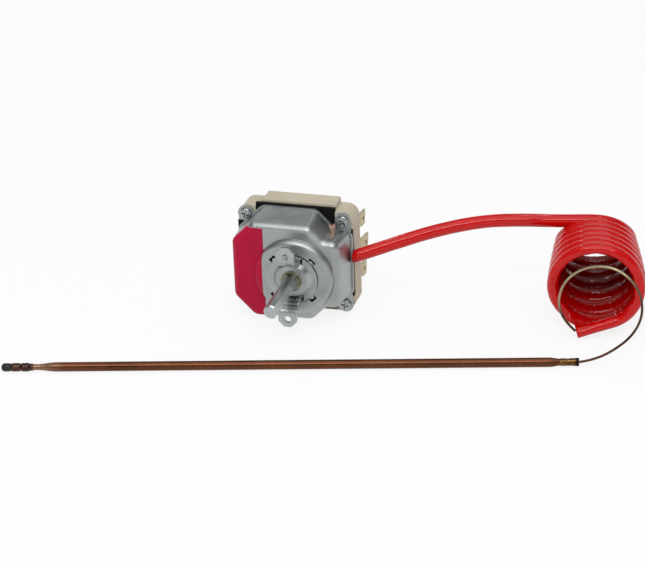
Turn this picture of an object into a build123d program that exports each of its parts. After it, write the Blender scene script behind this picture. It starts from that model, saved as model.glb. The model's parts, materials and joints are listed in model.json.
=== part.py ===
from build123d import *
from math import cos, radians, sin, tan
import os

# Three-pole capillary thermostat for ovens and fryers, lying as it was set down:
# the control head stands on its lower edge with the shaft level, and the sleeved
# capillary, its coil and the long copper bulb lie on the same surface.
#
# Row frame, millimetres: +X right, -Y along the shaft towards the knob, +Z up.
# The origin is on the shaft axis, in the mounting plane (the front of the two tabs).
#
# The head is built in its own axes (x right, y up, z towards the knob, z = 0 in the
# mounting plane) and turned upright at the end. Depths are negative z.

# Mounting plane, hole pattern and shaft
HOLE_SPACING = 28.0
TAB_HOLE_R = 1.65
TAB_WIDTH = 7.8
TAB_END_TOP = 18.4
TAB_END_BOTTOM = 17.4
TAB_CORNER = 2.4
SHAFT_R = 3.0
SHAFT_LENGTH = 22.5
FLAT_DEPTH = 1.4
FLAT_LENGTH = 21.0
RUNNING_GAP = 0.08

# Pressed steel housing
SHEET = 1.0
FRONT_Z = -12.8
BOSS_HEIGHT = 3.0
HOUSING_DEPTH = 15.2
CENTRE_Y = 1.0
FRONT_HALF = 20.9
FRONT_NOTCH_HALF = 14.9
FRONT_LEFT = -26.9
FRONT_RIGHT = 18.7
FRONT_CUT = 8.2
FRONT_NOTCH_X = 6.3
REAR_HALF = 22.9
REAR_NOTCH_HALF = 15.4
REAR_LEFT = -27.9
REAR_RIGHT = 20.6
REAR_CUT = 10.5
REAR_NOTCH_X = 6.1
CORNER_R = 3.8
CONCAVE_R = 3.2
FRONT_EDGE_R = 2.7
RIM_LIP = 0.5
BOSS_R = 16.9
BOSS_SHOULDER_R = 2.2
BOSS_TAPER = 0.6
NOTCH_DEPTH = 1.6
NOTCH_WIDTH = 3.2

# Screws and ears
SCREW_LEFT_X = -24.7
SCREW_RIGHT_X = 17.35
SCREW_HALF = 19.1
EAR_R = 3.45
SCREW_HEAD_R = 2.5
SCREW_HEAD_H = 1.4
SCREW_SHANK_R = 1.25
SCREW_LENGTH = 9.4
RECESS_WIDTH = 0.6
RECESS_DEPTH = 0.9

# Mounting bracket
BRACKET_SHEET = 1.5
PLATE_PROUD = 0.4
PLATE_R = 10.8
PLATE_SHIFT = -0.2
PLATE_GAP = 0.3
BRACKET_RIM = 0.8
DOME_R = 8.2
DOME_TOP_R = 6.8
DOME_HEIGHT = 1.8
RELIEF_WIDTH = 0.6
RELIEF_LENGTH = 2.6
RISER_FOOT = 8.2
RISER_HEAD = 10.6
BEND_R = 1.6

# Bushing, spindle, stop
BUSHING_R = 4.55
BUSHING_STAND_OUT = 0.7
BUSHING_FLANGE_R = 5.3
BUSHING_FLANGE_T = 1.4
BUSHING_BACK_Z = -14.0
COUNTERSINK = 0.6
DISC_R = 4.9
DISC_T = 1.4
DISC_GAP = 0.2
STOP_ARM_R = 7.6
STOP_ARM_WIDTH = 2.4
STOP_ARM_ANGLE = 240.0
STOP_PIN_RADIUS = 6.6
STOP_PIN_R = 1.2
STOP_PIN_ANGLE = 270.0
THREAD_R = 2.4
THREAD_END_Z = -19.4
GROOVE_DEPTH = 0.5
RING_R = 3.7
RING_T = 0.8
RING_GAP = 0.1
RING_OPENING = 2.2

# Setting nut, guide pins, diaphragm capsule
NUT_HUB_R = 4.2
NUT_HUB_Z = -17.1
NUT_PLATE_Z = -20.1
NUT_PLATE_R = 9.0
NUT_PLATE_T = 1.4
NUT_BORE_FLOOR = 0.6
GUIDE_GAP = 0.7
GUIDE_R = 1.0
GUIDE_END_Z = -24.5
GUIDE_EAR_R = 1.9
CAPSULE_R = 10.5
CAPSULE_T = 3.0
CAPSULE_BUTTON_R = 3.0
CAPSULE_BUTTON_H = 0.8
SPIGOT_LENGTH = 1.6
SPIGOT_GAP = 0.4
INLET_BEND_R = 1.4

# Insulating plate and moulded switch base
INSULATOR_T = 1.6
INSULATOR_LEFT = -28.6
INSULATOR_RIGHT = 20.9
INSULATOR_TOP = 24.9
INSULATOR_BOTTOM = -21.8
BASE_LEFT = -28.2
BASE_RIGHT = 21.3
BASE_TOP = 23.5
BASE_BOTTOM = -21.5
BASE_DEPTH = 9.2
BASE_CORNER_R = 4.8
BLOCK_LEFT = -18.4
BLOCK_RIGHT = 13.5
BLOCK_TOP = 25.9
TABLE = -22.4
LUG_LEFT_X = -20.6
LUG_RIGHT_X = 13.8
LUG_HALF = 15.5
BASE_WALL = 1.4
CHAMBER_LEFT = -22.5
CHAMBER_RIGHT = 15.0
CHAMBER_TOP = 20.0
CHAMBER_BOTTOM = -13.0
COVER_T = 1.5
COVER_GAP = 0.1
COVER_LEFT = -26.3
COVER_RIGHT = 19.4
COVER_TOP = 22.2
COVER_BOTTOM = -17.0
COVER_CORNER_R = 3.5

# Terminals and contacts, one row for each pole
POLE_Y = (15.0, 3.5, -8.0)
BLADE_WIDTH = 6.3
BLADE_T = 0.8
BLADE_OUT = 8.0
BLADE_TIP = 1.2
BLADE_HOLE_R = 0.9
BLADE_RIGHT_X = 20.6
BLADE_LEFT_X = -27.5
SLOT_GAP = 0.1
FIXED_FOOT_X = 8.5
CONTACT_X = 12.0
CONTACT_R = 1.5
CONTACT_H = 0.85
CONTACT_GAP = 0.15
SPRING_T = 0.3
SPRING_WIDTH = 5.0
SPRING_END_X = 13.8
SPRING_ROOT_X = -24.0
SPRING_HINGE_X = -20.0
SPRING_WINDOW = (11.0, 2.0)

# Transfer pin and bridge
PIN_R = 1.5
PIN_HOLE_R = 1.6
PIN_GAP = 0.2
BRIDGE_WIDTH = 4.0
BRIDGE_T = 1.5
BRIDGE_OVERHANG = 2.5
BRIDGE_NUB_R = 1.2
BRIDGE_NUB_H = 0.65

# Film on the front face
FILM_T = 0.15
FILM_RIGHT_X = -13.3
FILM_WRAP = 1.9
FILM_TOP_Y = 20.2

# Sleeve, coil and bare capillary, in the row frame
SLEEVE_R = 2.8
CAPILLARY_R = 0.6
SLEEVE_EXIT = (21.3, 27.4, 4.0)
SLEEVE_ROUTE = [
    (19.66, 26.84, 3.48),
    (36.0, 32.4, 8.7),
    (54.0, 39.8, 13.6),
    (72.0, 46.8, 16.3),
    (88.0, 52.6, 15.7),
    (101.0, 57.2, 14.3),
    (109.5, 59.6, 13.2),
]
COIL_CENTRE = (123.6, 29.6)
COIL_TURN_DEG = 99.2
COIL_FRONT_R = 18.2
COIL_BACK_R = 14.6
COIL_LENGTH = 31.0
COIL_FAN = 34.0
COIL_DROP = 1.7
COIL_DRIFT = -1.3
WOUND_HALF_THICK = 2.3
WOUND_HALF_WIDTH = 2.7
COIL_SECTIONS = 5
TAIL_ANGLE = -65.0
TAIL_END = (116.3, 23.9)
CAPILLARY_ROUTE = [
    (115.8, 23.6, -18.9),
    (111.2, 21.6, -13.5),
    (109.3, 19.0, -3.5),
    (113.0, 17.0, 7.5),
    (122.5, 15.0, 15.2),
    (134.5, 13.0, 16.4),
    (143.5, 11.2, 9.8),
    (146.3, 9.4, -0.6),
    (142.6, 7.4, -10.3),
    (134.0, 4.0, -17.2),
    (126.5, 0.9, -20.0),
]

# Bulb, lying on the table, measured along its own axis from the tip
BULB_R = 1.95
BULB_RIGHT_END = (122.1, -0.5)
BULB_TURN_DEG = 13.1
BULB_LENGTH = 234.0
BULB_CAP_LENGTH = 4.0
BULB_CAP_R = 1.7
CRIMP_LUMP_R = 1.75
CRIMP_NECK_R = 1.45
NECK_R = 1.25
NECK_START = 12.2
NECK_END = 14.4
FLARE_END = 21.0
SHOULDER_LENGTH = 3.2
COLLAR_LENGTH = 7.8
COLLAR_R = 1.6
COLLAR_CLEARANCE = 0.2

# Worked out from the sizes above
UPRIGHT = Plane.XZ.location
GUIDE_X = CAPSULE_R + GUIDE_GAP + GUIDE_R
BORE_R = PLATE_R + PLATE_GAP
NOTCH_R = BORE_R + NOTCH_DEPTH
BRACKET_FLANGE_R = NOTCH_R + BRACKET_RIM
BOSS_Z = FRONT_Z + BOSS_HEIGHT
REAR_Z = FRONT_Z - HOUSING_DEPTH
EAR_Z = REAR_Z + SHEET
PLATE_Z = BOSS_Z + PLATE_PROUD
PLATE_BACK_Z = PLATE_Z - BRACKET_SHEET
BRACKET_FLANGE_Z = BOSS_Z - SHEET
BRACKET_BACK_Z = BRACKET_FLANGE_Z - BRACKET_SHEET
DOME_Z = PLATE_Z + DOME_HEIGHT
DOME_BACK_Z = DOME_Z - BRACKET_SHEET
BUSHING_Z = DOME_Z + BUSHING_STAND_OUT
DISC_Z = BUSHING_BACK_Z - DISC_GAP
NUT_BACK_Z = NUT_PLATE_Z - NUT_PLATE_T
CAPSULE_BACK_Z = NUT_BACK_Z - CAPSULE_T
BUTTON_Z = CAPSULE_BACK_Z - CAPSULE_BUTTON_H
BASE_Z = REAR_Z - INSULATOR_T
BASE_BACK_Z = BASE_Z - BASE_DEPTH
CHAMBER_Z = BASE_Z - BASE_WALL
RECESS_Z = BASE_BACK_Z + COVER_T + COVER_GAP
FOOT_Z = CHAMBER_Z - 0.2
FIXED_FACE_Z = FOOT_Z - BLADE_T - CONTACT_H
MOVING_FACE_Z = FIXED_FACE_Z - CONTACT_GAP
SPRING_Z = MOVING_FACE_Z - CONTACT_H
SPRING_BACK_Z = SPRING_Z - SPRING_T
NUB_Z = SPRING_Z + CONTACT_GAP
BRIDGE_BACK_Z = NUB_Z + BRIDGE_NUB_H
BRIDGE_Z = BRIDGE_BACK_Z + BRIDGE_T
PIN_Z = BUTTON_Z - PIN_GAP
SCREW_TOP_Y = CENTRE_Y + SCREW_HALF
SCREW_BOTTOM_Y = CENTRE_Y - SCREW_HALF
SCREWS = [(x, y) for x in (SCREW_LEFT_X, SCREW_RIGHT_X) for y in (SCREW_TOP_Y, SCREW_BOTTOM_Y)]
COIL_TOP_Z = TABLE + WOUND_HALF_THICK + 2 * COIL_FRONT_R
BULB_Z = TABLE + BULB_R

os.makedirs("parts", exist_ok=True)


def block(x_range, y_range, z_range):
    """A box between two corners, given as ranges along each axis."""
    size = [high - low for low, high in (x_range, y_range, z_range)]
    middle = [(high + low) / 2 for low, high in (x_range, y_range, z_range)]
    return Pos(*middle) * Box(*size)


def disc(radius, z_low, z_high, at=(0.0, 0.0)):
    """A round bar along the shaft's direction."""
    return Pos(at[0], at[1], (z_low + z_high) / 2) * Cylinder(radius, z_high - z_low)


def turned(profile):
    """A solid turned about the shaft axis from (radius, depth) points."""
    outline = make_face(Polyline(*[(r, 0, z) for r, z in profile], close=True))
    return revolve(outline, Axis.Z)


def rounded_plate(x_range, y_range, radius, z_range):
    """A rectangular plate with round corners."""
    width, height = x_range[1] - x_range[0], y_range[1] - y_range[0]
    middle = ((x_range[0] + x_range[1]) / 2, (y_range[0] + y_range[1]) / 2, z_range[0])
    return extrude(Pos(*middle) * RectangleRounded(width, height, radius), z_range[1] - z_range[0])


# Pressed housing, its ears and the film on it


def housing_outline(half, notch_half, left, right, cut, notch_x, inset, z):
    """The housing's outline: two cut corners on the left, two notched ones on the right."""
    half, notch_half = half - inset, notch_half - inset
    left, right = left + inset, right - inset
    cut = cut - inset * (2 - 2 ** 0.5)
    notch_x = notch_x - inset * (2 ** 0.5 - 1)
    ramp_x = notch_x + half - notch_half
    upper = [(left, half - cut), (left + cut, half), (notch_x, half), (ramp_x, notch_half), (right, notch_half)]
    lower = [(x, -y) for x, y in reversed(upper)]
    points = [(x, CENTRE_Y + y, z) for x, y in upper + lower]
    convex, concave = CORNER_R - inset, CONCAVE_R + inset
    radii = [convex, convex, convex, concave, convex] + [convex, concave, convex, convex, convex]
    return make_face(FilletPolyline(*points, radius=radii, close=True))


def front_outline(inset, z):
    return housing_outline(FRONT_HALF, FRONT_NOTCH_HALF, FRONT_LEFT, FRONT_RIGHT, FRONT_CUT,
                           FRONT_NOTCH_X, inset, z)


def rear_outline(inset, z):
    return housing_outline(REAR_HALF, REAR_NOTCH_HALF, REAR_LEFT, REAR_RIGHT, REAR_CUT,
                           REAR_NOTCH_X, inset, z)


def boss_form(inset):
    """The raised round pad on the front, with its rounded shoulder."""
    base_r = BOSS_R - inset
    pad = Pos(0, 0, FRONT_Z - inset) * Cone(
        base_r, base_r - BOSS_TAPER, BOSS_HEIGHT, align=(Align.CENTER, Align.CENTER, Align.MIN))
    root = disc(base_r, FRONT_Z - inset - SHEET, FRONT_Z - inset)
    pad = fillet(pad.faces().sort_by(Axis.Z)[-1].edges(), BOSS_SHOULDER_R - inset / 2)
    return pad + root


def housing_form(inset):
    """The filled shape of the housing, shrunk by an inset on every face."""
    top = FRONT_Z - inset
    body = loft([rear_outline(inset, REAR_Z), front_outline(inset, top)], ruled=True)
    body = fillet(body.faces().sort_by(Axis.Z)[-1].edges(), FRONT_EDGE_R - inset)
    return body + boss_form(inset)


def bore_cutter(z_low, z_high):
    """The boss's bore with its four notches on the diagonals."""
    cutter = disc(BORE_R, z_low, z_high)
    arm = block((0, NOTCH_R), (-NOTCH_WIDTH / 2, NOTCH_WIDTH / 2), (z_low, z_high))
    for k in range(4):
        cutter += Rot(0, 0, 45 + 90 * k) * arm
    return cutter


def ear(x, y):
    """A round ear for one screw, with the web that joins it to the rim."""
    inner_x = LUG_RIGHT_X if x > 0 else x
    outer_x = REAR_RIGHT if x > 0 else x + EAR_R
    toward = CENTRE_Y + (1 if y > CENTRE_Y else -1) * (REAR_NOTCH_HALF - 1)
    web = block((inner_x, outer_x), sorted((y, toward)), (REAR_Z, EAR_Z))
    return disc(EAR_R, REAR_Z, EAR_Z, (x, y)) + web


def make_housing():
    shell = housing_form(0)
    shell += extrude(rear_outline(-RIM_LIP, REAR_Z), SHEET)
    for x, y in SCREWS:
        shell += ear(x, y)
    shell -= housing_form(SHEET)
    shell -= bore_cutter(BOSS_Z - 2 * SHEET, BOSS_Z + 1)
    for place in SCREWS:
        shell -= disc(SCREW_SHANK_R + RUNNING_GAP, REAR_Z - 1, EAR_Z + 1, place)
    exit_z = -SLEEVE_EXIT[1]
    exit_half = CAPILLARY_R + 0.2
    shell -= block((FRONT_RIGHT - SHEET, REAR_RIGHT + 1),
                   (SLEEVE_EXIT[2] - exit_half, SLEEVE_EXIT[2] + exit_half),
                   (REAR_Z, exit_z + exit_half))
    return shell


def make_film():
    """A thin film over the left of the front face, wrapped a little over its edges."""
    skin = housing_form(-FILM_T) - housing_form(0)
    region = block((FRONT_LEFT - 2, FILM_RIGHT_X), (TABLE, FILM_TOP_Y), (FRONT_Z - FILM_WRAP, BOSS_Z + 1))
    return skin & region


# Mounting bracket, bushing and spindle


def tab(side, end):
    """One mounting tab with its riser; side is +1 for the upper tab."""
    half_sheet = BRACKET_SHEET / 2
    path = FilletPolyline(
        (DOME_TOP_R, PLATE_Z - half_sheet), (RISER_FOOT, PLATE_Z - half_sheet),
        (RISER_HEAD, -half_sheet), (end, -half_sheet), radius=BEND_R)
    ribbon = trace(path, BRACKET_SHEET)
    upright = Plane(origin=(-TAB_WIDTH / 2, 0, 0), x_dir=(0, 1, 0), z_dir=(1, 0, 0))
    solid = extrude(upright * ribbon, TAB_WIDTH)
    for edge_side in (-1, 1):
        corner = Polyline(
            (edge_side * TAB_WIDTH / 2, end - TAB_CORNER), (edge_side * TAB_WIDTH / 2, end),
            (edge_side * (TAB_WIDTH / 2 - TAB_CORNER), end), close=True)
        solid -= extrude(Pos(0, 0, -BRACKET_SHEET - 1) * make_face(corner), BRACKET_SHEET + 2)
    solid -= disc(TAB_HOLE_R, -BRACKET_SHEET - 1, 1, (0, HOLE_SPACING / 2))
    return solid if side > 0 else Rot(0, 0, 180) * solid


def make_bracket():
    """Domed plate, raised through the boss's bore, with its two tabs and the stop pin."""
    plate_r = PLATE_R + PLATE_SHIFT
    plate = turned([
        (BUSHING_R, DOME_Z), (DOME_TOP_R, DOME_Z), (DOME_R, PLATE_Z), (plate_r, PLATE_Z),
        (plate_r, BRACKET_FLANGE_Z), (BRACKET_FLANGE_R, BRACKET_FLANGE_Z),
        (BRACKET_FLANGE_R, BRACKET_BACK_Z), (PLATE_R - 0.4, BRACKET_BACK_Z),
        (PLATE_R - 1.3, PLATE_BACK_Z), (DOME_R - 0.5, PLATE_BACK_Z),
        (DOME_TOP_R - 0.4, DOME_BACK_Z), (BUSHING_R, DOME_BACK_Z),
    ])
    plate += disc(PLATE_R, BRACKET_FLANGE_Z, PLATE_Z, (PLATE_SHIFT, 0)) - disc(DOME_R, BRACKET_FLANGE_Z, PLATE_Z)
    for side in (-1, 1):
        slot_x = side * (TAB_WIDTH + RELIEF_WIDTH) / 2
        for y in (-RISER_FOOT, RISER_FOOT):
            plate -= block((slot_x - RELIEF_WIDTH / 2, slot_x + RELIEF_WIDTH / 2),
                           (y - RELIEF_LENGTH / 2, y + RELIEF_LENGTH / 2), (PLATE_BACK_Z - 1, DOME_Z + 1))
    plate += tab(1, TAB_END_TOP) + tab(-1, TAB_END_BOTTOM)
    window = block((BORE_R, NOTCH_R), (-NOTCH_WIDTH / 2, NOTCH_WIDTH / 2),
                   (BRACKET_BACK_Z - 1, BOSS_Z))
    for k in range(4):
        plate -= Rot(0, 0, 45 + 90 * k) * window
    for x in (-GUIDE_X, GUIDE_X):
        plate -= disc(GUIDE_R, BRACKET_BACK_Z - 1, BRACKET_FLANGE_Z + 1, (x, 0))
    stop_x = STOP_PIN_RADIUS * cos(radians(STOP_PIN_ANGLE))
    stop_y = STOP_PIN_RADIUS * sin(radians(STOP_PIN_ANGLE))
    return plate + disc(STOP_PIN_R, DISC_Z - DISC_T, PLATE_BACK_Z + 0.5, (stop_x, stop_y))


def make_bushing():
    bore = SHAFT_R + RUNNING_GAP
    flange_back = DOME_BACK_Z - BUSHING_FLANGE_T
    return turned([
        (bore + COUNTERSINK, BUSHING_Z), (BUSHING_R - COUNTERSINK / 2, BUSHING_Z),
        (BUSHING_R, BUSHING_Z - COUNTERSINK / 2), (BUSHING_R, DOME_BACK_Z),
        (BUSHING_FLANGE_R, DOME_BACK_Z), (BUSHING_FLANGE_R, flange_back),
        (BUSHING_R, flange_back), (BUSHING_R, BUSHING_BACK_Z), (bore, BUSHING_BACK_Z),
        (bore, BUSHING_Z - COUNTERSINK),
    ])


def make_spindle():
    """Shaft with its flat, ring groove, stop disc and arm, and threaded end."""
    groove_low = BUSHING_Z + RING_GAP
    groove_high = groove_low + RING_T
    groove_r = SHAFT_R - GROOVE_DEPTH
    disc_back = DISC_Z - DISC_T
    shaft = turned([
        (0, SHAFT_LENGTH), (SHAFT_R - 0.6, SHAFT_LENGTH), (SHAFT_R, SHAFT_LENGTH - 0.6),
        (SHAFT_R, groove_high), (groove_r, groove_high), (groove_r, groove_low),
        (SHAFT_R, groove_low), (SHAFT_R, DISC_Z), (DISC_R, DISC_Z), (DISC_R, disc_back),
        (THREAD_R, disc_back), (THREAD_R, THREAD_END_Z + 0.4), (THREAD_R - 0.4, THREAD_END_Z),
        (0, THREAD_END_Z),
    ])
    arm = block((0, STOP_ARM_R), (-STOP_ARM_WIDTH / 2, STOP_ARM_WIDTH / 2), (disc_back, DISC_Z))
    shaft += Rot(0, 0, STOP_ARM_ANGLE) * arm
    flat_x = SHAFT_R - FLAT_DEPTH
    return shaft - block((flat_x, SHAFT_R + 1), (-SHAFT_R, SHAFT_R),
                         (SHAFT_LENGTH - FLAT_LENGTH, SHAFT_LENGTH + 1))


def make_ring():
    """Open retaining ring in the spindle's groove."""
    low = BUSHING_Z + RING_GAP
    ring = disc(RING_R, low, low + RING_T) - disc(SHAFT_R - GROOVE_DEPTH, low - 1, low + 2)
    return ring - block((-RING_OPENING / 2, RING_OPENING / 2), (0, RING_R + 1), (low - 1, low + 2))


# Setting nut, guide pins and diaphragm capsule


def make_setting_nut():
    nut = disc(NUT_HUB_R, NUT_PLATE_Z, NUT_HUB_Z) + disc(NUT_PLATE_R, NUT_BACK_Z, NUT_PLATE_Z)
    for x in (-GUIDE_X, GUIDE_X):
        bar = block(sorted((0, x)), (-GUIDE_EAR_R, GUIDE_EAR_R), (NUT_BACK_Z, NUT_PLATE_Z))
        nut += bar + disc(GUIDE_EAR_R, NUT_BACK_Z, NUT_PLATE_Z, (x, 0))
    for x in (-GUIDE_X, GUIDE_X):
        nut -= disc(GUIDE_R + RUNNING_GAP, NUT_BACK_Z - 1, NUT_PLATE_Z + 1, (x, 0))
    return nut - disc(THREAD_R + RUNNING_GAP, NUT_BACK_Z + NUT_BORE_FLOOR, NUT_HUB_Z + 1)


def make_guide_pins():
    return Compound([disc(GUIDE_R, GUIDE_END_Z, BRACKET_FLANGE_Z, (x, 0)) for x in (-GUIDE_X, GUIDE_X)])


def make_capsule():
    """Two dished membranes welded at the rim, with a button and a capillary spigot."""
    front, back = NUT_BACK_Z, CAPSULE_BACK_Z
    rim_z, rim_half = (front + back) / 2, 0.4
    capsule = turned([
        (0, front), (0.75 * CAPSULE_R, front), (0.84 * CAPSULE_R, rim_z + rim_half),
        (CAPSULE_R, rim_z + rim_half), (CAPSULE_R, rim_z - rim_half),
        (0.84 * CAPSULE_R, rim_z - rim_half), (0.72 * CAPSULE_R, back),
        (CAPSULE_BUTTON_R, back), (CAPSULE_BUTTON_R, BUTTON_Z), (0, BUTTON_Z),
    ])
    spigot = Plane(origin=(CAPSULE_R - SPIGOT_LENGTH, SLEEVE_EXIT[2], rim_z), z_dir=(1, 0, 0)) * Circle(CAPILLARY_R)
    return capsule + extrude(spigot, 2 * SPIGOT_LENGTH)


def make_capillary_inlet():
    """The capillary's end inside the housing, from the sleeve to beside the spigot."""
    y, exit_z = SLEEVE_EXIT[2], -SLEEVE_EXIT[1]
    spigot_z = (NUT_BACK_Z + CAPSULE_BACK_Z) / 2
    bend_x = (CAPSULE_R + REAR_RIGHT - SHEET) / 2 + INLET_BEND_R
    end_x = CAPSULE_R + SPIGOT_LENGTH + SPIGOT_GAP
    path = FilletPolyline((SLEEVE_EXIT[0], y, exit_z), (bend_x, y, exit_z), (bend_x, y, spigot_z),
                          (end_x, y, spigot_z), radius=INLET_BEND_R)
    profile = Plane(origin=path @ 0, z_dir=path % 0) * Circle(CAPILLARY_R)
    return sweep(profile, path)


# Insulating plate, moulded base, cover


def lug_ranges(gap):
    """The four corners where the base's lugs come forward, widened by a gap."""
    corners = []
    for x_range in ((BASE_LEFT - 1, LUG_LEFT_X + gap), (LUG_RIGHT_X - gap, BASE_RIGHT + 1)):
        for y_range in ((CENTRE_Y + LUG_HALF - gap, BLOCK_TOP + 1),
                        (TABLE - 1, CENTRE_Y - LUG_HALF + gap)):
            corners.append((x_range, y_range))
    return corners


def make_insulator():
    plate = block((INSULATOR_LEFT, INSULATOR_RIGHT), (INSULATOR_BOTTOM, INSULATOR_TOP),
                  (BASE_Z, REAR_Z))
    for x_range, y_range in lug_ranges(SLOT_GAP):
        plate -= block(x_range, y_range, (BASE_Z - 1, REAR_Z + 1))
    plate -= block((REAR_NOTCH_X - CONCAVE_R, LUG_RIGHT_X), (INSULATOR_BOTTOM - 1, CENTRE_Y - REAR_NOTCH_HALF + SHEET),
                   (BASE_Z - 1, REAR_Z + 1))
    return plate - disc(PIN_HOLE_R, BASE_Z - 1, REAR_Z + 1)


def base_outer(z_low, z_high):
    return rounded_plate((BASE_LEFT, BASE_RIGHT), (BASE_BOTTOM, BASE_TOP), BASE_CORNER_R,
                         (z_low, z_high))


def make_base():
    base = base_outer(BASE_BACK_Z, BASE_Z)
    base += rounded_plate((BLOCK_LEFT, BLOCK_RIGHT), (TABLE, BLOCK_TOP), 0.9, (BASE_BACK_Z, BASE_Z))
    lugs = base_outer(BASE_Z, REAR_Z)
    for x_range, y_range in lug_ranges(0):
        base += lugs & block(x_range, y_range, (BASE_Z, REAR_Z))
    base -= block((CHAMBER_LEFT, CHAMBER_RIGHT), (CHAMBER_BOTTOM, CHAMBER_TOP),
                  (BASE_BACK_Z - 1, CHAMBER_Z))
    base -= rounded_plate((COVER_LEFT, COVER_RIGHT), (COVER_BOTTOM, COVER_TOP), COVER_CORNER_R,
                          (BASE_BACK_Z - 1, RECESS_Z))
    slot_half = BLADE_WIDTH / 2 + SLOT_GAP
    for y in POLE_Y:
        rows = (y - slot_half, y + slot_half)
        base -= block((CHAMBER_RIGHT - 1, BLADE_RIGHT_X + SLOT_GAP), rows, (BASE_BACK_Z - 1, FOOT_Z))
        base -= block((BLADE_LEFT_X - SLOT_GAP, CHAMBER_LEFT + 1), rows,
                      (BASE_BACK_Z - 1, SPRING_Z + 2 * SLOT_GAP))
    base -= disc(PIN_HOLE_R, CHAMBER_Z - 1, BASE_Z + 1)
    for place in SCREWS:
        base -= disc(SCREW_SHANK_R + RUNNING_GAP, EAR_Z - SCREW_LENGTH - 0.2, REAR_Z + 1, place)
    return base


def make_cover():
    gap = COVER_GAP
    return rounded_plate((COVER_LEFT + gap, COVER_RIGHT - gap), (COVER_BOTTOM + gap, COVER_TOP - gap),
                         COVER_CORNER_R - gap, (BASE_BACK_Z, BASE_BACK_Z + COVER_T))


def make_screws():
    """Four pan-head screws with a cross recess, through the ears into the base."""
    recess = block((-RECESS_WIDTH / 2, RECESS_WIDTH / 2), (-1.3, 1.3), (-RECESS_DEPTH, 1))
    recess += Rot(0, 0, 90) * recess
    head_top = EAR_Z + SCREW_HEAD_H
    screw = disc(SCREW_HEAD_R, EAR_Z, head_top)
    screw = fillet(screw.faces().sort_by(Axis.Z)[-1].edges(), 0.7)
    screw += disc(SCREW_SHANK_R, EAR_Z - SCREW_LENGTH, EAR_Z)
    screw -= Pos(0, 0, head_top) * Rot(0, 0, 20) * recess
    return Compound([Pos(x, y, 0) * screw for x, y in SCREWS])


# Terminals and contact springs


def blade(x_low, y, z_front):
    """A tab that stands out behind the base, with its hole and pointed tip."""
    tip_z = BASE_BACK_Z - BLADE_OUT
    half = BLADE_WIDTH / 2
    outline = Polyline((y - half, z_front), (y + half, z_front), (y + half, tip_z + BLADE_TIP),
                       (y + half - BLADE_TIP, tip_z), (y - half + BLADE_TIP, tip_z),
                       (y - half, tip_z + BLADE_TIP), close=True)
    side = Plane(origin=(x_low, 0, 0), x_dir=(0, 1, 0), z_dir=(1, 0, 0))
    solid = extrude(side * make_face(outline), BLADE_T)
    hole = Pos(x_low, y, tip_z + 3.2) * Rot(0, 90, 0) * Cylinder(BLADE_HOLE_R, 4)
    return solid - hole


def make_fixed_terminal(y):
    """Right-hand terminal: blade, foot and fixed contact."""
    half = BLADE_WIDTH / 2
    foot = block((FIXED_FOOT_X, BLADE_RIGHT_X), (y - half, y + half), (FOOT_Z - BLADE_T, FOOT_Z))
    contact = disc(CONTACT_R, FIXED_FACE_Z, FOOT_Z - BLADE_T, (CONTACT_X, y))
    return blade(BLADE_RIGHT_X - BLADE_T, y, FOOT_Z) + foot + contact


def make_spring_terminal(y):
    """Left-hand terminal: blade and the foot that carries the contact spring."""
    half = BLADE_WIDTH / 2
    foot = block((BLADE_LEFT_X, SPRING_HINGE_X), (y - half, y + half),
                 (SPRING_BACK_Z - BLADE_T, SPRING_BACK_Z))
    return blade(BLADE_LEFT_X, y, SPRING_BACK_Z) + foot


def make_contact_spring(y):
    """Flat spring with a window along its middle and the moving contact at its end."""
    spring = block((SPRING_ROOT_X, SPRING_END_X), (y - SPRING_WIDTH / 2, y + SPRING_WIDTH / 2),
                   (SPRING_BACK_Z, SPRING_Z))
    length, width = SPRING_WINDOW
    middle_x = SPRING_HINGE_X / 2
    spring -= block((middle_x - length / 2, middle_x + length / 2), (y - width / 2, y + width / 2),
                    (SPRING_BACK_Z - 1, SPRING_Z + 1))
    return spring + disc(CONTACT_R, SPRING_Z, MOVING_FACE_Z, (CONTACT_X, y))


def make_pin():
    return disc(PIN_R, BRIDGE_Z, PIN_Z)


def make_bridge():
    bar = block((-BRIDGE_WIDTH / 2, BRIDGE_WIDTH / 2),
                (min(POLE_Y) - BRIDGE_OVERHANG, max(POLE_Y) + BRIDGE_OVERHANG),
                (BRIDGE_BACK_Z, BRIDGE_Z))
    for y in POLE_Y:
        bar += disc(BRIDGE_NUB_R, NUB_Z, BRIDGE_BACK_Z, (0, y))
    return bar


# Sleeve, coil, capillary and bulb, placed in the row frame


def corner_radii(route):
    """For each corner of a route, the largest arc that its two runs allow."""
    points = [Vector(*p) for p in route]
    radii = []
    for before, at, after in zip(points, points[1:], points[2:]):
        turn = (at - before).get_angle(after - at)
        shorter = min((at - before).length, (after - at).length)
        radii.append(0.45 * shorter / tan(radians(turn / 2)))
    return radii


def tube(route, radius, name):
    """A round tube along straight runs joined by tangent arcs."""
    if len(route) > 2:
        radii = corner_radii(route)
        path = FilletPolyline(*route, radius=radii)
        print(name, "arc radii", [round(r, 1) for r in radii])
    else:
        path = Line(*route)
    profile = Plane(origin=path @ 0, z_dir=path % 0) * Circle(radius)
    solid = sweep(profile, path)
    expected = Circle(radius).area * path.length
    print(name, "length", round(path.length, 1), "volume ratio", round(solid.volume / expected, 4))
    return solid


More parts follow.
